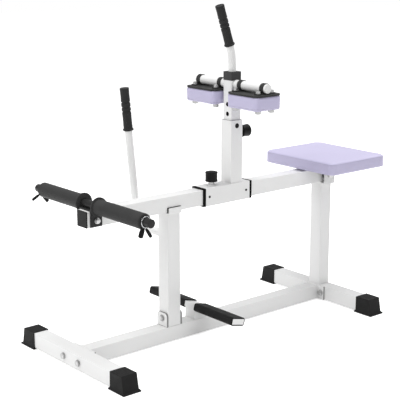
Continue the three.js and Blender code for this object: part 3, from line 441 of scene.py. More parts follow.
EDGE_ANGLE = 50
MERGE_DISTANCE = 0.02 * MM
FLAT_ANGLE = 0.6


def softened(mesh, width):
    """Rounds the hard edges by a width in millimetres and shades the flats flat."""
    return with_modifiers(
        smoothed(mesh, EDGE_ANGLE),
        ("edges", "BEVEL", {
            "width": width * MM, "segments": 2, "limit_method": "ANGLE", "angle_limit": radians(EDGE_ANGLE),
            "use_clamp_overlap": True, "miter_outer": "MITER_ARC"}),
        ("flats", "WEIGHTED_NORMAL", {"keep_sharp": True, "mode": "FACE_AREA", "weight": 80}),
    )


def refined(node_name, width, finish=None):
    """A CAD node's own shape, merged, with rounded edges and smooth curves."""
    work = bmesh.new()
    work.from_mesh(nodes[node_name].data)
    bmesh.ops.remove_doubles(work, verts=work.verts, dist=MERGE_DISTANCE)
    bmesh.ops.dissolve_limit(work, angle_limit=radians(FLAT_ANGLE), verts=work.verts, edges=work.edges)
    mesh = bpy.data.meshes.new("work")
    work.to_mesh(mesh)
    work.free()
    stand_in(node_name + "_finished", softened(mesh, width), node_name, finish=finish)


def mesh_of(works, origin=None, direction=UP, angle=40):
    """One mesh from millimetre shapes along +Z, turned to a direction and moved to an origin."""
    turn = UP.rotation_difference(Vector(direction)).to_matrix().to_4x4()
    whole = bmesh.new()
    mesh = bpy.data.meshes.new("work")
    for work in works:
        work.to_mesh(mesh)
        work.free()
        whole.from_mesh(mesh)
    whole.to_mesh(mesh)
    whole.free()
    mesh.transform(Matrix.Translation(origin or Vector()) @ turn @ Matrix.Scale(MM, 4))
    return smoothed(mesh, angle)


def shaped(name, works, place, direction, node_name, finish=None, angle=40):
    """A piece from millimetre shapes, in place of a CAD node."""
    stand_in(name, mesh_of(works, place, direction, angle), node_name, finish=finish)


def joined(meshes):
    whole = bmesh.new()
    for mesh in meshes:
        whole.from_mesh(mesh)
    made = bpy.data.meshes.new("work")
    whole.to_mesh(made)
    whole.free()
    return made


def arc(first, last, centre, steps):
    """Points on the short arc from first to last round a centre."""
    near, far = first - centre, last - centre
    sweep = near.angle(far)
    points = []
    for step in range(steps + 1):
        part = step / steps
        spoke = near * sin((1 - part) * sweep) + far * sin(part * sweep)
        points.append(centre + spoke / sin(sweep))
    return points


def filleted(corners, steps=5):
    """A profile through corners, each given as across, along and its rounding."""
    places = [Vector(corner[:2]) for corner in corners]
    profile = []
    for index, (here, corner) in enumerate(zip(places, corners)):
        rounding = corner[2]
        if rounding == 0:
            profile.append(here)
            continue
        before = (places[index - 1] - here).normalized()
        after = (places[(index + 1) % len(places)] - here).normalized()
        half = before.angle(after) / 2
        trim = rounding / tan(half)
        middle = (before + after).normalized() * (rounding / sin(half))
        profile += [here + point for point in arc(before * trim, after * trim, middle, steps)]
    return profile


def solid(loops, closed=False):
    """A shape through loops of equal count; a loop that repeats one point is a tip."""
    work = bmesh.new()
    rings = []
    for points in loops:
        verts = {point: work.verts.new(point) for point in dict.fromkeys(points)}
        rings.append([verts[point] for point in points])
    followers = rings[1:] + rings[:1] if closed else rings[1:]
    for low, high in zip(rings, followers):
        for step in range(len(low)):
            after = (step + 1) % len(low)
            corners = dict.fromkeys((low[step], low[after], high[after], high[step]))
            if len(corners) > 2:
                work.faces.new(tuple(corners))
    if not closed:
        for ring in (rings[0], rings[-1]):
            if ring[0] != ring[1]:
                work.faces.new(ring)
    bmesh.ops.recalc_face_normals(work, faces=work.faces)
    return work


AXIS_WIDTH = 1e-6


def turned(profile, steps=64, closed=False):
    """A solid of revolution round +Z."""
    angles = [tau * step / steps for step in range(steps)]
    loops = []
    for across, along in profile:
        if across < AXIS_WIDTH:
            loops.append([(0, 0, along)] * steps)
        else:
            loops.append([(across * cos(a), across * sin(a), along) for a in angles])
    return solid(loops, closed)


def rounded_outline(width, depth, corner, steps=8):
    """Points round a rectangle with rounded corners, in its own plane."""
    outline = []
    for turn, (sx, sy) in enumerate(((1, 1), (-1, 1), (-1, -1), (1, -1))):
        middle = Vector((sx * (width / 2 - corner), sy * (depth / 2 - corner)))
        for step in range(steps + 1):
            angle = pi / 2 * (turn + step / steps)
            outline.append(middle + Vector((cos(angle), sin(angle))) * corner)
    return outline


def layered(layers, closed=False):
    """A solid through flat loops, each given as points and a height."""
    return solid([[(*point, height) for point in points] for points, height in layers], closed)


def square_tube(size, wall, corner, start, end):
    outer = rounded_outline(size, size, corner)
    inner = rounded_outline(size - 2 * wall, size - 2 * wall, max(corner - wall, 0.6))
    return layered([(outer, start), (outer, end), (inner, end), (inner, start)], closed=True)


def bored(mesh, cutters):
    """The mesh with the cutters' shapes taken out."""
    holder = placed("cutters", cutters)
    made = with_modifiers(mesh, ("bore", "BOOLEAN", {"object": holder, "solver": "EXACT"}))
    bpy.data.objects.remove(holder)
    return made


def collar(bore, radius, start, end, low=0, high=0, steps=40, mouth=0):
    """A round bar or ring with rounded edges."""
    profile = filleted([(bore, start, 0), (radius, start, low), (radius, end, high), (bore, end, mouth)])
    return turned(profile, steps, bore > 0)


def drill(radius, place, direction, steps=40):
    """A round cutter that goes right through a tube."""
    return mesh_of([collar(0, radius, -POST_SIZE, POST_SIZE, steps=steps)], place, direction)


HEX_STEPS = 48
HEX_SEAT = 0.96
HEX_CONE = tan(radians(28))


def hex_prism(across, height, low_chamfer=False):
    """A hexagon with its corners turned off by a cone, as on a bolt's head or a nut."""
    flat = across / 2
    seat = flat * HEX_SEAT
    angles = [tau * step / HEX_STEPS for step in range(HEX_STEPS)]
    reach = [flat / cos((angle % (pi / 3)) - pi / 6) for angle in angles]
    drop = [(far - seat) * HEX_CONE for far in reach]

    seats, floor = [seat] * HEX_STEPS, [0] * HEX_STEPS
    rings = [(seats, floor), (reach, drop)] if low_chamfer else [(reach, floor)]
    rings += [(reach, [height - down for down in drop]), (seats, [height] * HEX_STEPS)]
    return solid([[(r * cos(a), r * sin(a), z) for r, a, z in zip(radii, angles, heights)]
                  for radii, heights in rings])


def lifted(work, height):
    bmesh.ops.translate(work, verts=work.verts, vec=(0, 0, height))
    return work


THREAD_PITCH = 1.25
THREAD_ROOT = 0.9
THREAD_CHAMFER = 0.8


def threaded(radius, length):
    """A bolt's end with the ridges of its thread."""
    profile = [(0, 0), (radius, 0)]
    place = 0
    while place + THREAD_PITCH < length - 1:
        crest, root = place + THREAD_PITCH * 0.4, place + THREAD_PITCH * 0.7
        place += THREAD_PITCH
        profile += [(radius, crest), (radius * THREAD_ROOT, root), (radius, place)]
    profile += [(radius, length - THREAD_CHAMFER), (radius - THREAD_CHAMFER, length), (0, length)]
    return turned(profile, 24)


# Geometry Nodes trees for what repeats or follows a path

def new_tree(name, inputs):
    """A Geometry Nodes tree with named inputs, and the graph that fills it."""
    tree = bpy.data.node_groups.new(name, "GeometryNodeTree")
    tree.interface.new_socket(name="Geometry", in_out="OUTPUT", socket_type="NodeSocketGeometry")
    for label, kind in inputs.items():
        tree.interface.new_socket(name=label, in_out="INPUT", socket_type="NodeSocket" + kind)
    graph = Graph(tree)
    return graph, graph.node("NodeGroupInput")


def finished_tree(graph, given, geometry):
    """Ends a tree in Realize Instances, smooth shading and Set Material."""
    real = graph.node("GeometryNodeRealizeInstances", {"Geometry": geometry})[0]
    smooth = graph.node("GeometryNodeSetShadeSmooth", {"Geometry": real})[0]
    coated = graph.node("GeometryNodeSetMaterial", {"Geometry": smooth, "Material": given["Finish"]})[0]
    graph.node("NodeGroupOutput", {"Geometry": coated})
    return graph.tree


def direction_of(graph, axis, sockets, pivot="AUTO"):
    return graph.node("FunctionNodeAlignRotationToVector", sockets, axis=axis, pivot_axis=pivot)[0]


def outward_of(graph):
    """The direction outward that each point of a path carries."""
    return graph.node("GeometryNodeInputNamedAttribute", {"Name": "outward"}, data_type="FLOAT_VECTOR")[0]


def random_value(graph, given, low, high):
    sockets = {2: low, 3: high, "Seed": given["Seed"]}
    return graph.node("FunctionNodeRandomValue", sockets, data_type="FLOAT")[1]


def laid_on(graph, given, points, instance, turn, size):
    """Ends a tree that lays instances on points, turned and scaled."""
    scale = graph.node("ShaderNodeCombineXYZ", dict(enumerate(size)))[0]
    laid = graph.node("GeometryNodeInstanceOnPoints", {
        "Points": points, "Instance": instance, "Rotation": turn, "Scale": scale})[0]
    return finished_tree(graph, given, laid)


def bead_run_tree():
    """Rounded beads laid along a path: the ripples of a weld, the stitches of a seam."""
    graph, given = new_tree("bead_run", {
        "Path": "Geometry", "Pitch": "Float", "Length": "Float", "Width": "Float", "Height": "Float",
        "Unevenness": "Float", "Seed": "Int", "Finish": "Material"})
    curve = graph.node("GeometryNodeMeshToCurve", {"Mesh": given["Path"]})[0]
    pitch = {"Curve": curve, "Length": given["Pitch"]}
    even = graph.node("GeometryNodeResampleCurve", pitch, mode="LENGTH")[0]
    bead = graph.node("GeometryNodeMeshUVSphere", {"Segments": 8, "Rings": 5, "Radius": 0.5})["Mesh"]
    tangent = graph.node("GeometryNodeInputTangent")[0]
    along = direction_of(graph, "X", {"Vector": tangent})
    turn = direction_of(graph, "Z", {"Vector": outward_of(graph), "Rotation": along}, "X")
    spread = random_value(graph, given, 1.0 - given["Unevenness"], 1.0)
    size = (given["Length"], given["Width"] * spread, given["Height"] * spread)
    return laid_on(graph, given, even, bead, turn, size)


def rod_run_tree():
    """A round rod along a path, with closed ends."""
    graph, given = new_tree("rod_run", {
        "Path": "Geometry", "Radius": "Float", "Sides": "Int", "Finish": "Material"})
    curve = graph.node("GeometryNodeMeshToCurve", {"Mesh": given["Path"]})[0]
    section = graph.node("GeometryNodeCurvePrimitiveCircle", {
        "Resolution": given["Sides"], "Radius": given["Radius"]})[0]
    rod = graph.node("GeometryNodeCurveToMesh", {
        "Curve": curve, "Profile Curve": section, "Fill Caps": True})[0]
    return finished_tree(graph, given, rod)


def fixing_set_tree():
    """A fixing set on points and aimed by their directions, each with its own turn."""
    graph, given = new_tree("fixing_set", {
        "Places": "Geometry", "Fixing": "Object", "Size": "Float", "Seed": "Int", "Finish": "Material"})
    fixing = graph.node("GeometryNodeObjectInfo", {"Object": given["Fixing"]})["Geometry"]
    spin = graph.node("ShaderNodeCombineXYZ", {2: random_value(graph, given, 0.0, tau)})[0]
    own = graph.node("FunctionNodeEulerToRotation", {0: spin})[0]
    aim = direction_of(graph, "Z", {"Vector": outward_of(graph)})
    turn = graph.node("FunctionNodeRotateRotation", {0: aim, 1: own}, rotation_space="LOCAL")[0]
    return laid_on(graph, given, given["Places"], fixing, turn, [given["Size"]] * 3)


TREES = {"bead_run": bead_run_tree(), "rod_run": rod_run_tree(), "fixing_set": fixing_set_tree()}


def path_mesh(paths):
    """Edges along paths of points, each with its directions outward, open or closed."""
    points, edges, directions = [], [], []
    for path, outward, closed in paths:
        first = len(points)
        points += path
        directions += outward
        edges += [(first + i, first + i + 1) for i in range(len(path) - 1)]
        if closed:
            edges.append((first + len(path) - 1, first))
    mesh = bpy.data.meshes.new("path")
    mesh.from_pydata(points, edges, [])
    attribute = mesh.attributes.new("outward", "FLOAT_VECTOR", "POINT")
    attribute.data.foreach_set("vector", [part for direction in directions for part in direction])
    return mesh


def grown(tree, paths, finish, inputs):
    """The plain mesh that a tree makes of paths or points."""
    holder = placed("path", path_mesh(paths))
    modifier = holder.modifiers.new(tree, "NODES")
    modifier.node_group = TREES[tree]
    values = {**inputs, "Finish": FINISHES[finish]}
    for item in TREES[tree].interface.items_tree:
        if item.in_out == "INPUT" and item.name in values:
            modifier[item.identifier] = values[item.name]
    mesh = evaluated(holder)
    holder.modifiers.remove(modifier)
    bpy.data.objects.remove(holder)
    return mesh


def fixings(name, prototype, places, members, seed):
    """Bolts or screws of one kind in place of CAD nodes, set on (point, direction) places."""
    holder = placed("kind", prototype)
    spots = [([point], [Vector(direction)], False) for point, direction in places]
    inputs = {"Fixing": holder, "Size": 1.0, "Seed": seed}
    mesh = grown("fixing_set", spots, SLOT_OF[members[0]], inputs)
    bpy.data.objects.remove(holder)
    stand_in(name, smoothed(mesh), *members)


def swept(path, radius, sides, finish):
    """A rod along points in metres, with a radius in millimetres."""
    run = [(path, [UP] * len(path), False)]
    return smoothed(grown("rod_run", run, finish, {"Radius": radius * MM, "Sides": sides}), 60)


# Frame: tubes, plates and brackets of white coated steel, rubber caps and sleeves

TUBE_EDGE = 0.35
PLATE_EDGE = 0.5
CAP_EDGE = 0.8
SLEEVE_EDGE = 0.9

for edge, finish_name, node_names in (
    (TUBE_EDGE, None, ("front_foot", "rear_foot", "front_post", "rear_post", "beam", "footrest_bar")),
    (TUBE_EDGE, "eared_coat", ("spine",)),
    (CAP_EDGE, None, ("front_cap_left", "front_cap_right", "rear_cap_left", "rear_cap_right")),
    # The cradle liner cushions the beam; its black also stands in for the shade line round the cradle's lip,
    # as painted shade.
    (SLEEVE_EDGE, None, ("footrest_sleeve_left", "footrest_sleeve_right", "cradle_liner")),
    (PLATE_EDGE, None, ("weight_bracket", "beam_plug", "seat_plate")),
    (PLATE_EDGE, "satin_plastic", ("pad_carrier_left", "pad_carrier_right")),
    (PLATE_EDGE, "bush_black", ("carriage_trim_front", "carriage_trim_rear")),
):
    for node_name in node_names:
        refined(node_name, edge, finish_name)


# Carriage with its upright, and the height post

BOSS_RADIUS = 11
BOSS_LENGTH = 4
POST_TOP = 833


def on_upright(height):
    return at(0, UPRIGHT_Y, height)


def build_carriage():
    """The sleeve on the lever, the upright welded on it and the bosses of the two pull pins."""
    start, length, wall = 514, 190, 4
    upright_wall, weld_depth, top = 4.7, 1.3, 698
    plug_height, hole, plug_radius, rim, plug_depth = 680, 7.5, 7.1, 8.2, 4
    tube = square_tube(CARRIAGE_SIZE, wall, TUBE_CORNER, 0, length)
    sleeve = mesh_of([tube], at(0, start, BEAM_MIDDLE), ALONG)
    tube = square_tube(TUBE, upright_wall, TUBE_CORNER, SLEEVE_TOP - weld_depth, top)
    upright = bored(mesh_of([tube], on_upright(0)), drill(hole, on_upright(plug_height), ACROSS))
    bosses = [mesh_of([collar(7.3, BOSS_RADIUS, 0, BOSS_LENGTH, 0, 0.8, 48, 0.4)], *place)
              for place in PULL_PINS.values()]
    body = softened(joined([sleeve, upright]), 0.4)
    stand_in("carriage_welded", joined([body, *bosses]), "carriage", finish="upright_coat")
    face, inner = HALF_TUBE, HALF_TUBE - plug_depth
    plug = filleted([(0, inner, 0), (plug_radius, inner, 0), (plug_radius, face, 0.3), (rim, face + 0.1, 0.1),
                     (rim - 0.2, face + 1.2, 0.6), (0, face + 1.6, 0)])
    for side, sign in SIDES.items():
        mesh = mesh_of([turned(plug, 40)], on_upright(plug_height), (sign, 0, 0))
        registered(f"upright_plug_{side}", mesh, "carriage", "black_plastic")


def build_height_post():
    """The inner post with its round pin holes and the cross tube's hole, and the cross tube."""
    foot, wall = 590, 3
    hole, top_hole, pitch, holes = 7.3, 749.5, 31.5, 5
    bar_radius, bar_half = 15, 169.5
    tube = square_tube(POST_SIZE, wall, TUBE_CORNER, foot, POST_TOP)
    cutters = [drill(hole, on_upright(top_hole - pitch * step), ALONG) for step in range(holes)]
    cutters.append(drill(bar_radius + FIT_GAP, on_upright(CROSS_TUBE_Z), ACROSS, 64))
    post = softened(bored(mesh_of([tube], on_upright(0)), joined(cutters)), TUBE_EDGE)
    stand_in("height_post_holed", post, "height_post", finish="post_coat")
    bar = collar(0, bar_radius, -bar_half, bar_half, 1.2, 1.2, 64)
    shaped("cross_tube_turned", [bar], on_upright(CROSS_TUBE_Z), ACROSS, "cross_tube")


def build_post_cap():
    """The square cap on the height post: a block whose skirt goes over the post's top."""
    size, wall, corner, foot, top, chamfer = 42, 0.9, 2.4, 828, 855.6, 1.0
    seat = POST_TOP + FIT_GAP
    wide = rounded_outline(size, size, corner)
    narrow = rounded_outline(size - 1.2 * chamfer, size - 1.2 * chamfer, corner - 0.4)
    skirt = square_tube(size, wall, corner, foot, seat + 0.1)
    block = layered([(wide, seat), (wide, top - chamfer), (narrow, top)])
    mesh = softened(mesh_of([skirt, block], on_upright(0)), 0.6)
    stand_in("post_cap", mesh, "height_post_cap", finish="cap_plastic")


build_carriage()
build_height_post()
build_post_cap()


# Handles with their grips

HANDLE_RADIUS = 12.7
GRIP_RADIUS = 15.1
GROOVE_RADIUS = 13.1


def bent(start, corner, end, radius, steps=24):
    """A path in metres from start to end with an arc of that radius near the corner."""
    into = (corner - start).normalized()
    out = (end - corner).normalized()
    turn = into.angle(out)
    trim = radius * MM * tan(turn / 2)
    centre = corner + (out - into).normalized() * (radius * MM / cos(turn / 2))
    return [start, *arc(corner - into * trim, corner + out * trim, centre, steps), end]


def build_grip(node_name, length, start, direction):
    """A rubber grip with a flange, a slight waist, three grooves and a flat flared end."""
    corners = [(12.9, 0, 0.3), (17.4, 0, 1.6), (17.4, 5, 1.4), (15.0, 6.5, 1.5), (14.5, length * 0.30, 20)]
    for share in (0.45, 0.55, 0.666):
        middle = length * share
        corners += [(GRIP_RADIUS, middle - 3.0, 0.7), (GROOVE_RADIUS, middle - 1.6, 0.4)]
        corners += [(GROOVE_RADIUS, middle + 1.6, 0.4), (GRIP_RADIUS, middle + 3.0, 0.7)]
    corners += [(14.4, length * 0.82, 20), (GRIP_RADIUS, length, 0.9), (4, length, 0.3)]
    corners += [(3.2, length - 1.0, 0.2), (0, length - 1.0, 0)]
    grip = turned([(0, 0)] + filleted(corners))
    shaped(node_name + "_moulded", [grip], start, direction, node_name, "grip_rubber")


def build_handle(node_name, start, corner, top, bend):
    """A bent tube that ends just below the top of its grip."""
    path = bent(start, corner, top - (top - corner).normalized() * 5 * MM, bend)
    stand_in(node_name + "_bent", swept(path, HANDLE_RADIUS, 48, "white_powder_coat"), node_name)


def build_handles():
    x, grip = -167, 139
    corner, top = at(x, FRONT_POST_Y, SIDE_HANDLE_Z), at(x, 338.4, 811)
    lean = (top - corner).normalized()
    build_handle("side_handle", at(1 - HALF_TUBE, FRONT_POST_Y, SIDE_HANDLE_Z), corner, top, 26)
    build_grip("side_grip", grip, top - lean * grip * MM, lean)

    angle, bend, bend_start, grip = radians(18.8), 220, 869, 136
    tangent = bend * tan(angle / 2)
    corner, lean = on_upright(bend_start + tangent), Vector((0, -sin(angle), cos(angle)))
    grip_start = corner + lean * tangent * MM
    build_handle("upper_handle", on_upright(840), corner, grip_start + lean * grip * MM, bend)
    build_grip("upper_grip", grip, grip_start, lean)


build_handles()


# Weight bar, disc sleeves and spring clips

COIL_RADIUS = 16
COIL_START = 267.5
COIL_PITCH = 4.8
COIL_STEPS = 48
WIRE_RADIUS = 1.35
INNER_LEAN = -0.024
OUTER_LEAN = 0.2


def build_weight_bar():
    half, bore, start, end = 297, 13.5, 36.5, 264.5
    flange, flange_end, radius = 30, 42, 23.7
    bar, middle = collar(0, 13, -half, half, 1.6, 1.6, 64), at(0, BAR_Y, BAR_Z)
    shaped("weight_bar_turned", [bar], middle, ACROSS, "weight_bar")
    for side, sign in SIDES.items():
        sleeve = turned(filleted([
            (bore, start, 0.5), (flange, start, 1.8), (flange, flange_end, 1.6),
            (radius, flange_end + 0.4, 1.0), (radius, end, 3.6), (bore, end, 0.8),
        ]), 80, True)
        node_name = f"disc_sleeve_{side}"
        shaped(node_name + "_turned", [sleeve], middle, (sign, 0, 0), node_name, "satin_plastic")


def clip_dip(label, side, sign, points, radius, thin):
    """A flat dipped handle over a wire's end, its broad side facing forward and out."""
    length = 31
    flat = turned(filleted([(0, 0.8, 0), (radius, 0.8, radius * 0.7), (radius * 0.95, 22, 6),
                            (radius * 0.55, length - 0.5, 1.2), (0, length, 0)]), 32)
    bmesh.ops.scale(flat, vec=(1, thin, 1), verts=flat.verts)
    mesh = mesh_of([flat])
    wide = Vector((sign * 0.5, 0.87, 0))
    run = (points[2] - points[0]).normalized()
    across = (wide - run * wide.dot(run)).normalized()
    turn = Matrix((across, run.cross(across), run)).transposed().to_4x4()
    mesh.transform(Matrix.Translation(points[0]) @ turn)
    registered(f"clip_dip_{side}_{label}", mesh, f"spring_clip_{side}", "black_plastic")


def build_clip(side, sign, *degrees):
    """A coil of wire round the bar whose two ends run out into flat dipped handles.

    Each end is given in degrees from straight down: where it leaves the coil, and the way it runs.
    """
    inner_from, inner_way, outer_from, outer_way = map(radians, degrees)

    def place(angle, along):
        return at(sign * along, BAR_Y + COIL_RADIUS * sin(angle), BAR_Z - COIL_RADIUS * cos(angle))

    def handle(leaves, way, along, lean):
        run = Vector((sign * lean, sin(way), -cos(way))) * MM
        return [place(leaves, along) + run * reach for reach in (33, 28, 20, 12, 5, 3)]

    def eased(straight, joint, curve):
        return [straight * (1 - t) ** 2 + joint * 2 * t * (1 - t) + curve * t ** 2 for t in (0.25, 0.5, 0.75)]

    sweep = sign * tau + outer_from - inner_from
    length = COIL_PITCH * abs(sweep) / tau
    parts = [step / COIL_STEPS for step in range(COIL_STEPS + 1)]
    coil = [place(inner_from + sweep * part, COIL_START + length * part) for part in parts]
    inner = handle(inner_from, inner_way, COIL_START, INNER_LEAN)
    outer = handle(outer_from, outer_way, COIL_START + length, OUTER_LEAN)
    wire = inner + eased(inner[-1], coil[0], coil[1]) + coil[1:-1]
    wire += eased(outer[-1], coil[-1], coil[-2])[::-1] + outer[::-1]
    mesh = swept(wire, WIRE_RADIUS, 12, "chrome_wire")
    stand_in(f"spring_clip_{side}_wound", mesh, f"spring_clip_{side}")
    clip_dip("inner", side, sign, inner, 7.6, 0.74)
    clip_dip("outer", side, sign, outer, 5.2, 0.88)


build_weight_bar()
build_clip("left", -1, -13, 38, -30, -55)
build_clip("right", 1, -30, -18, -11, 27)


# Pull knobs, pivot bushes, bolts and screws

WASHER = 1.6
PAD_MIDDLE_Y = 651


def build_knobs():
    bore, barrel, spigot, across, tall = 4.4, 7, 5, 16.5, 8.7
    pin, grip, rim, low, high = 4, 19.6, 20.5, 13, 47
    knob = filleted([
        (0, -4.7, 0), (pin, -4.7, 1.0), (pin, low, 0), (rim - 1, low, 1.0), (rim, low + 0.9, 0.4),
        (rim, low + 4.2, 0.6), (grip, low + 5, 0.4), (grip, high - 7, 0.3), (rim, high - 5.6, 0.6),
        (rim, high - 2.6, 1.6), (rim - 5, high - 1.1, 3.0), (barrel, high - 0.1, 2.0), (0, high, 0),
    ])
    for word, place in PULL_PINS.items():
        parts = [collar(bore, barrel, 0, spigot), lifted(hex_prism(across, tall, True), BOSS_LENGTH)]
        shaped(f"{word}_barrel_turned", parts, *place, f"{word}_pin_barrel")
        shaped(f"{word}_knob_moulded", [turned(knob, 72)], *place, f"{word}_pull_knob", angle=50)


def build_bushes():
    bore, radius, end = 6.3, 22.6, 35.7
    for side, sign in SIDES.items():
        node_name, place = f"pivot_bush_{side}", at(0, PIVOT_Y, BEAM_MIDDLE)
        bush = collar(bore, radius, HALF_TUBE + FIT_GAP, end, 1.2, 1.2, 64)
        shaped(node_name + "_turned", [bush], place, (sign, 0, 0), node_name, "bush_black")


def washer(radius, low=0.2, high=0.4):
    return collar(0, radius, 0, WASHER, low, high)


def shank(radius, length):
    return collar(0, radius, -length, 0.5, steps=24)


def hex_bolt(across, head, radius, length):
    """A hex bolt with washers and nut through something of that length, its head at zero."""
    back, flange = -length - WASHER, across * 0.65
    return mesh_of([
        washer(flange),
        lifted(hex_prism(across, head), WASHER),
        shank(radius, length),
        lifted(washer(flange, 0.4, 0.2), back),
        lifted(hex_prism(across, head, True), back - head),
        lifted(threaded(radius, head + 5.5), back - head - 4),
    ], angle=30)


def pad_bolt():
    """A bolt through a thigh pad, with a tall nut on its far end."""
    through, radius, nut = 53, 4, 9.5
    back = -through - WASHER - 0.5 - nut
    return mesh_of([
        washer(8.2),
        lifted(hex_prism(14, 6.4), WASHER),
        shank(radius, through),
        lifted(hex_prism(18, nut, True), back),
        lifted(threaded(radius, 8), back - 1.2),
    ], angle=30)


def build_bolts():
    places, members = [], []
    for word, y, direction in (("front", 0, -1), ("rear", 1104.2, 1)):
        for side, sign in SIDES.items():
            places.append((at(40 * sign, y, SPINE_MIDDLE), (0, direction, 0)))
            members.append(f"{word}_foot_bolt_{side}")
    fixings("foot_bolts", hex_bolt(17, 5.6, 5, 55), places, members, 3)
    for node_name, sizes, place, direction, seed in (
        ("front_post_bolt", (17, 4.4, 5, 62.6), at(0, 353.7, 80.2), -ALONG, 5),
        ("pivot_bolt", (19, 5.4, 6, 82), at(41, PIVOT_Y, BEAM_MIDDLE), ACROSS, 7),
        ("weight_bracket_bolt", (14.5, 5.6, 5, 59.4), at(29.7, BAR_Y, 454.7), ACROSS, 9),
    ):
        fixings(node_name + "_fitted", hex_bolt(*sizes), [(place, direction)], [node_name], seed)

    stem, head, socket, rise, depth = 2.5, 3.9, 1.4, 2.4, 1.2
    screw = turned(filleted([
        (0, -4, 0), (stem, -4, 0), (stem, 0, 0), (head, 0, 0.2), (head, 1.6, 1.1), (2.6, rise, 0.4),
        (socket, rise, 0), (socket, depth, 0), (0, depth, 0),
    ]), 40)
    places = [(at(CARRIAGE_SIZE / 2, y, BEAM_MIDDLE + 1), ACROSS) for y in (529, 688)]
    members = ["carriage_screw_front", "carriage_screw_rear"]
    fixings("carriage_screws", mesh_of([screw]), places, members, 11)

    through, spread, top = pad_bolt(), 28.5, 801
    for side, sign in SIDES.items():
        places = [(at(sign * x, PAD_MIDDLE_Y + y, top), UP) for x in (49, 154) for y in (-spread, spread)]
        members = [f"pad_bolt_{side}_{number}" for number in range(1, 5)]
        fixings(f"pad_bolts_{side}", through.copy(), places, members, 13)


build_knobs()
build_bushes()
build_bolts()


# Weld beads where the white frame is joined

BEAD_RISE = 0.4
BEAD_GAP = 0.3
WELD_BEADS = {
    "Pitch": 1.5 * MM, "Length": 2.8 * MM, "Width": 2.8 * MM, "Height": 1.6 * MM, "Unevenness": 0.2,
    "Seed": 21,
}


def square_path(centre, axis, depth=TUBE):
    """A closed path round a square tube where it meets a plate, with its directions outward."""
    path, outward = [], []
    for x, up in rounded_outline(TUBE + 2 * BEAD_RISE, depth + 2 * BEAD_RISE, 2, 5):
        spoke = Vector((x, 0, up)) if axis[1] else Vector((x, up, 0))
        path.append(centre + spoke * MM)
        outward.append((spoke.normalized() + Vector(axis)).normalized())
    return path, outward, True


def ring_path(centre, axis, radius):
    """A closed path round a boss or a round tube, with its directions outward."""
    turn = UP.rotation_difference(Vector(axis))
    spokes = [turn @ Vector((cos(a), sin(a), 0)) for a in [tau * step / 24 for step in range(24)]]
    outward = [(spoke + Vector(axis)).normalized() for spoke in spokes]
    return [centre + spoke * (radius + BEAD_GAP) * MM for spoke in spokes], outward, True


def build_welds():
    stem_y, stem_depth, front_plate, rear_plate = 493, 46, 55.4, 1048.8
    base = [
        square_path(at(0, front_plate, SPINE_MIDDLE), (0, 1, 0)),
        square_path(at(0, rear_plate, SPINE_MIDDLE), (0, -1, 0)),
        square_path(at(0, stem_y, SPINE_TOP + BEAD_GAP), (0, 0, 1), stem_depth),
        ring_path(at(-HALF_TUBE - BEAD_GAP, FRONT_POST_Y, SIDE_HANDLE_Z), (-1, 0, 0), HANDLE_RADIUS),
    ]
    carriage = [ring_path(place + way * BEAD_GAP * MM, way, BOSS_RADIUS) for place, way in PULL_PINS.values()]
    for body, paths in (("base", base), ("carriage", carriage)):
        mesh = grown("bead_run", paths, "white_powder_coat", WELD_BEADS)
        registered(f"{body}_welds", mesh, body, "white_powder_coat")


build_welds()


# Cushions: sewn covers over foam, puffed by a short cloth run

CLOTH_ROOM = 1.5
CLOTH_CAP = 1.0 * MM
CLOTH_FRAMES = 20
BACK_DEPTH = 4 * MM
COVER_SETTINGS = {
    "quality": 4, "mass": 0.3, "tension_stiffness": 12, "compression_stiffness": 12, "bending_stiffness": 1.0,
    "use_pressure": True, "uniform_pressure_force": 4,
}
STITCHES = {
    "Pitch": 3.4 * MM, "Length": 2.5 * MM, "Width": 0.55 * MM, "Height": 0.5 * MM, "Unevenness": 0.1,
    "Seed": 4,
}


def cushion_layers(width, depth, corner, side, crown, rounding):
    """Loops of a cushion from its flat back at zero: upright sides, a rounded edge and a crown."""
    outline = rounded_outline(width, depth, corner, 10)

    def inset(by):
        return [Vector((p.x * (1 - 2 * by / width), p.y * (1 - 2 * by / depth))) for p in outline]

    layers = [(inset(width * 0.30), 0), (inset(12), 0), (inset(1.2), 0), (inset(0.2), 1.2), (inset(0), 3)]
    layers += [(inset(0), side * part) for part in (0.35, 0.7, 1.0)]
    for step in range(1, 7):
        angle = pi / 12 * step
        layers.append((inset(rounding * (1 - cos(angle))), side + rounding * sin(angle)))
    for part in (0.12, 0.28, 0.48, 0.7):
        rise = (crown - rounding) * (1 - (1 - part) ** 2)
        layers.append((inset(rounding + (min(width, depth) / 2 - rounding) * part), side + rounding + rise))
    return layers


def held_cloth(piece, back):
    """Runs the cover, held at its back, under a little inner pressure, and caps how far each point moves."""
    before = [vertex.co.copy() for vertex in piece.data.vertices]
    group = piece.vertex_groups.new(name="held")
    held = [v.index for v in piece.data.vertices if abs(v.co.z - back) < BACK_DEPTH]
    group.add(held, 1.0, "REPLACE")
    cloth = piece.modifiers.new("cover", "CLOTH")
    for name, value in COVER_SETTINGS.items():
        setattr(cloth.settings, name, value)
    cloth.settings.effector_weights.gravity = 0
    cloth.settings.vertex_group_mass = "held"
    for step in range(CLOTH_FRAMES):
        scene.frame_set(step + 1)
    puffed = evaluated(piece)
    piece.modifiers.remove(cloth)
    for vertex, place, after in zip(piece.data.vertices, before, puffed.vertices):
        move = after.co - place
        vertex.co = place + (move if move.length < CLOTH_CAP else move.normalized() * CLOTH_CAP)
    piece.vertex_groups.clear()
    scene.frame_set(1)


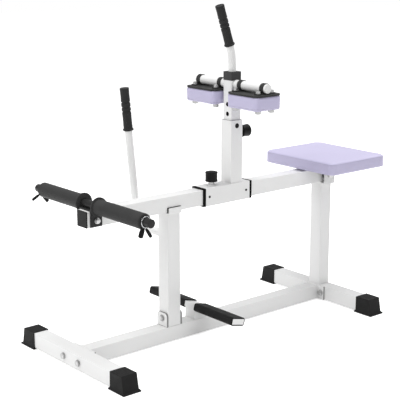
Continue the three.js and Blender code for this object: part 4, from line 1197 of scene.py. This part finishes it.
def fitted(mesh, low, high):
    """Stretches a mesh evenly so that its box is the one given."""
    places = [vertex.co for vertex in mesh.vertices]
    for axis in range(3):
        least = min(place[axis] for place in places)
        most = max(place[axis] for place in places)
        scale = (high[axis] - low[axis]) / (most - least)
        for place in places:
            place[axis] = low[axis] + (place[axis] - least) * scale
    mesh.update()


def build_cushion(node_name, corner, side, rounding, upside_down, finish, sag=0.0):
    """The cushion in its CAD solid's place, from a slightly smaller start."""
    low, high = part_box(node_name)
    low.z -= sag * MM
    width, depth, tall = (high - low) / MM
    crown = tall - side - CLOTH_ROOM
    room = 2 * CLOTH_ROOM
    work = layered(cushion_layers(width - room, depth - room, corner, side, crown, rounding))
    back = high.z if upside_down else low.z
    if upside_down:
        bmesh.ops.scale(work, vec=(1, 1, -1), verts=work.verts)
        bmesh.ops.recalc_face_normals(work, faces=work.faces)
    mesh = mesh_of([work], Vector(((low.x + high.x) / 2, (low.y + high.y) / 2, back)))
    mesh = with_modifiers(mesh, ("even", "REMESH", {"mode": "VOXEL", "voxel_size": 4 * MM}))
    piece = placed("cover", mesh)
    held_cloth(piece, back)
    mesh = with_modifiers(piece.data.copy(),
                          ("ease", "SMOOTH", {"factor": 0.5, "iterations": 2}),
                          ("fine", "SUBSURF", {"levels": 1, "render_levels": 1}))
    bpy.data.objects.remove(piece)
    fitted(mesh, low, high)
    cushion = stand_in(node_name + "_sewn", smoothed(mesh, 180), node_name, finish=finish)
    return cushion


def stitched(name, cushion, outline, middle, height, body):
    """Stitches round a cushion at a height, laid on its cover."""
    tree = BVHTree.FromObject(cushion, bpy.context.evaluated_depsgraph_get())
    path, outward = [], []
    for point in rounded_outline(*outline, 12):
        place, normal, _, _ = tree.find_nearest(at(point.x + middle[0], point.y + middle[1], height))
        path.append(place + normal * 0.1 * MM)
        outward.append(normal)
    mesh = grown("bead_run", [(path, outward, True)], "lavender_thread", STITCHES)
    registered(name, mesh, body, "lavender_vinyl", (), "lavender_thread")


def build_upholstery():
    outline, side_height, rounding, middle = (338, 279, 26), 36, 5, (0, 1094)
    seat = build_cushion("seat_cushion", outline[2], side_height, rounding, False, "lavender_vinyl")
    stitched("seat_stitches", seat, outline, middle, SEAT_SEAM - 2.6, "lever")
    outline, side_height, rounding, sag, out = (146.2, 112, 14), 42, 2, 2.5, 103.6
    for side, sign in SIDES.items():
        node_name, body = f"thigh_cushion_{side}", f"thigh_pad_{side}"
        pad = build_cushion(node_name, outline[2], side_height, rounding, True, "pad_vinyl", sag)
        stitched(f"thigh_stitches_{side}", pad, outline, (sign * out, PAD_MIDDLE_Y), PAD_SEAM + 2.4, body)


build_upholstery()


# Floor, backdrop, light and camera

LIGHT_TARGET = Vector((0, 0, 0.45))


def emptied(holder):
    """The graph of a material or world, without its first nodes."""
    holder.use_nodes = True
    holder.node_tree.nodes.clear()
    return Graph(holder.node_tree)


def seen_by(graph, other_ray):
    """1 for what the camera or one other kind of ray sees, else 0."""
    path = graph.node("ShaderNodeLightPath")
    return path["Is Camera Ray"].at_least(path[other_ray])


def build_floor():
    """A matte floor with a white glow that only the camera and its reflections see."""
    half, drop, pale, glow_strength = 14.0, 0.0005, 0.86, 0.62
    mesh = bpy.data.meshes.new("floor")
    corners = [(x * half, y * half, -drop) for x, y in ((-1, -1), (1, -1), (1, 1), (-1, 1))]
    mesh.from_pydata(corners, [], [(0, 1, 2, 3)])
    floor = placed("floor", mesh)
    material = bpy.data.materials.new("pale_floor")
    graph = emptied(material)
    matte = graph.node("ShaderNodeBsdfDiffuse", {"Color": (*grey(pale), 1)})[0]
    strength = seen_by(graph, "Is Glossy Ray") * glow_strength
    glow = graph.node("ShaderNodeEmission", {"Strength": strength})[0]
    surface = graph.node("ShaderNodeAddShader", {0: glow, 1: matte})[0]
    graph.node("ShaderNodeOutputMaterial", {"Surface": surface})
    mesh.materials.append(material)


def build_world():
    """Even white light, and a plain white backdrop for the camera."""
    world = bpy.data.worlds.new("studio")
    scene.world = world
    graph = emptied(world)
    white = {"Color": (*grey(1), 1)}
    light = graph.node("ShaderNodeBackground", {**white, "Strength": 0.5})[0]
    backdrop = graph.node("ShaderNodeBackground", {**white, "Strength": 1.0})[0]
    seen = seen_by(graph, "Is Transmission Ray")
    mix = graph.node("ShaderNodeMixShader", {0: seen, 1: light, 2: backdrop})[0]
    graph.node("ShaderNodeOutputWorld", {"Surface": mix})


def aimed(name, data, place, back):
    """Puts in a lamp or camera that has its back to a direction."""
    holder = placed(name, data)
    holder.location = place
    holder.rotation_mode = "QUATERNION"
    holder.rotation_quaternion = back.to_track_quat("Z", "Y")
    return holder


def softbox(name, place, size, watts):
    light = bpy.data.lights.new(name, "AREA")
    light.shape = "RECTANGLE"
    light.size = size
    light.size_y = size
    light.energy = watts
    aimed(name, light, Vector(place), Vector(place) - LIGHT_TARGET)


def build_camera():
    azimuth, elevation = radians(49.953), radians(13.237)
    flat = cos(elevation)
    back = Vector((sin(azimuth) * flat, -cos(azimuth) * flat, sin(elevation)))
    data = bpy.data.cameras.new("photo_camera")
    data.sensor_width = 36.0
    data.lens = 99.07
    data.shift_x, data.shift_y = 0.00044, -0.01263
    data.clip_end = 60.0
    scene.camera = aimed("photo_camera", data, at(2661.18, -1723.94, 1282.15), back)


scene.view_settings.view_transform = "Standard"
build_floor()
build_world()
softbox("key_softbox", (-1.2, -4.2, 3.6), 2.6, 105)
softbox("fill_softbox", (4.2, -0.8, 2.4), 2.4, 23)
softbox("rear_softbox", (-0.6, 4.4, 3.2), 2.4, 38)
softbox("top_softbox", (0.0, 0.6, 4.6), 3.2, 128)
build_camera()
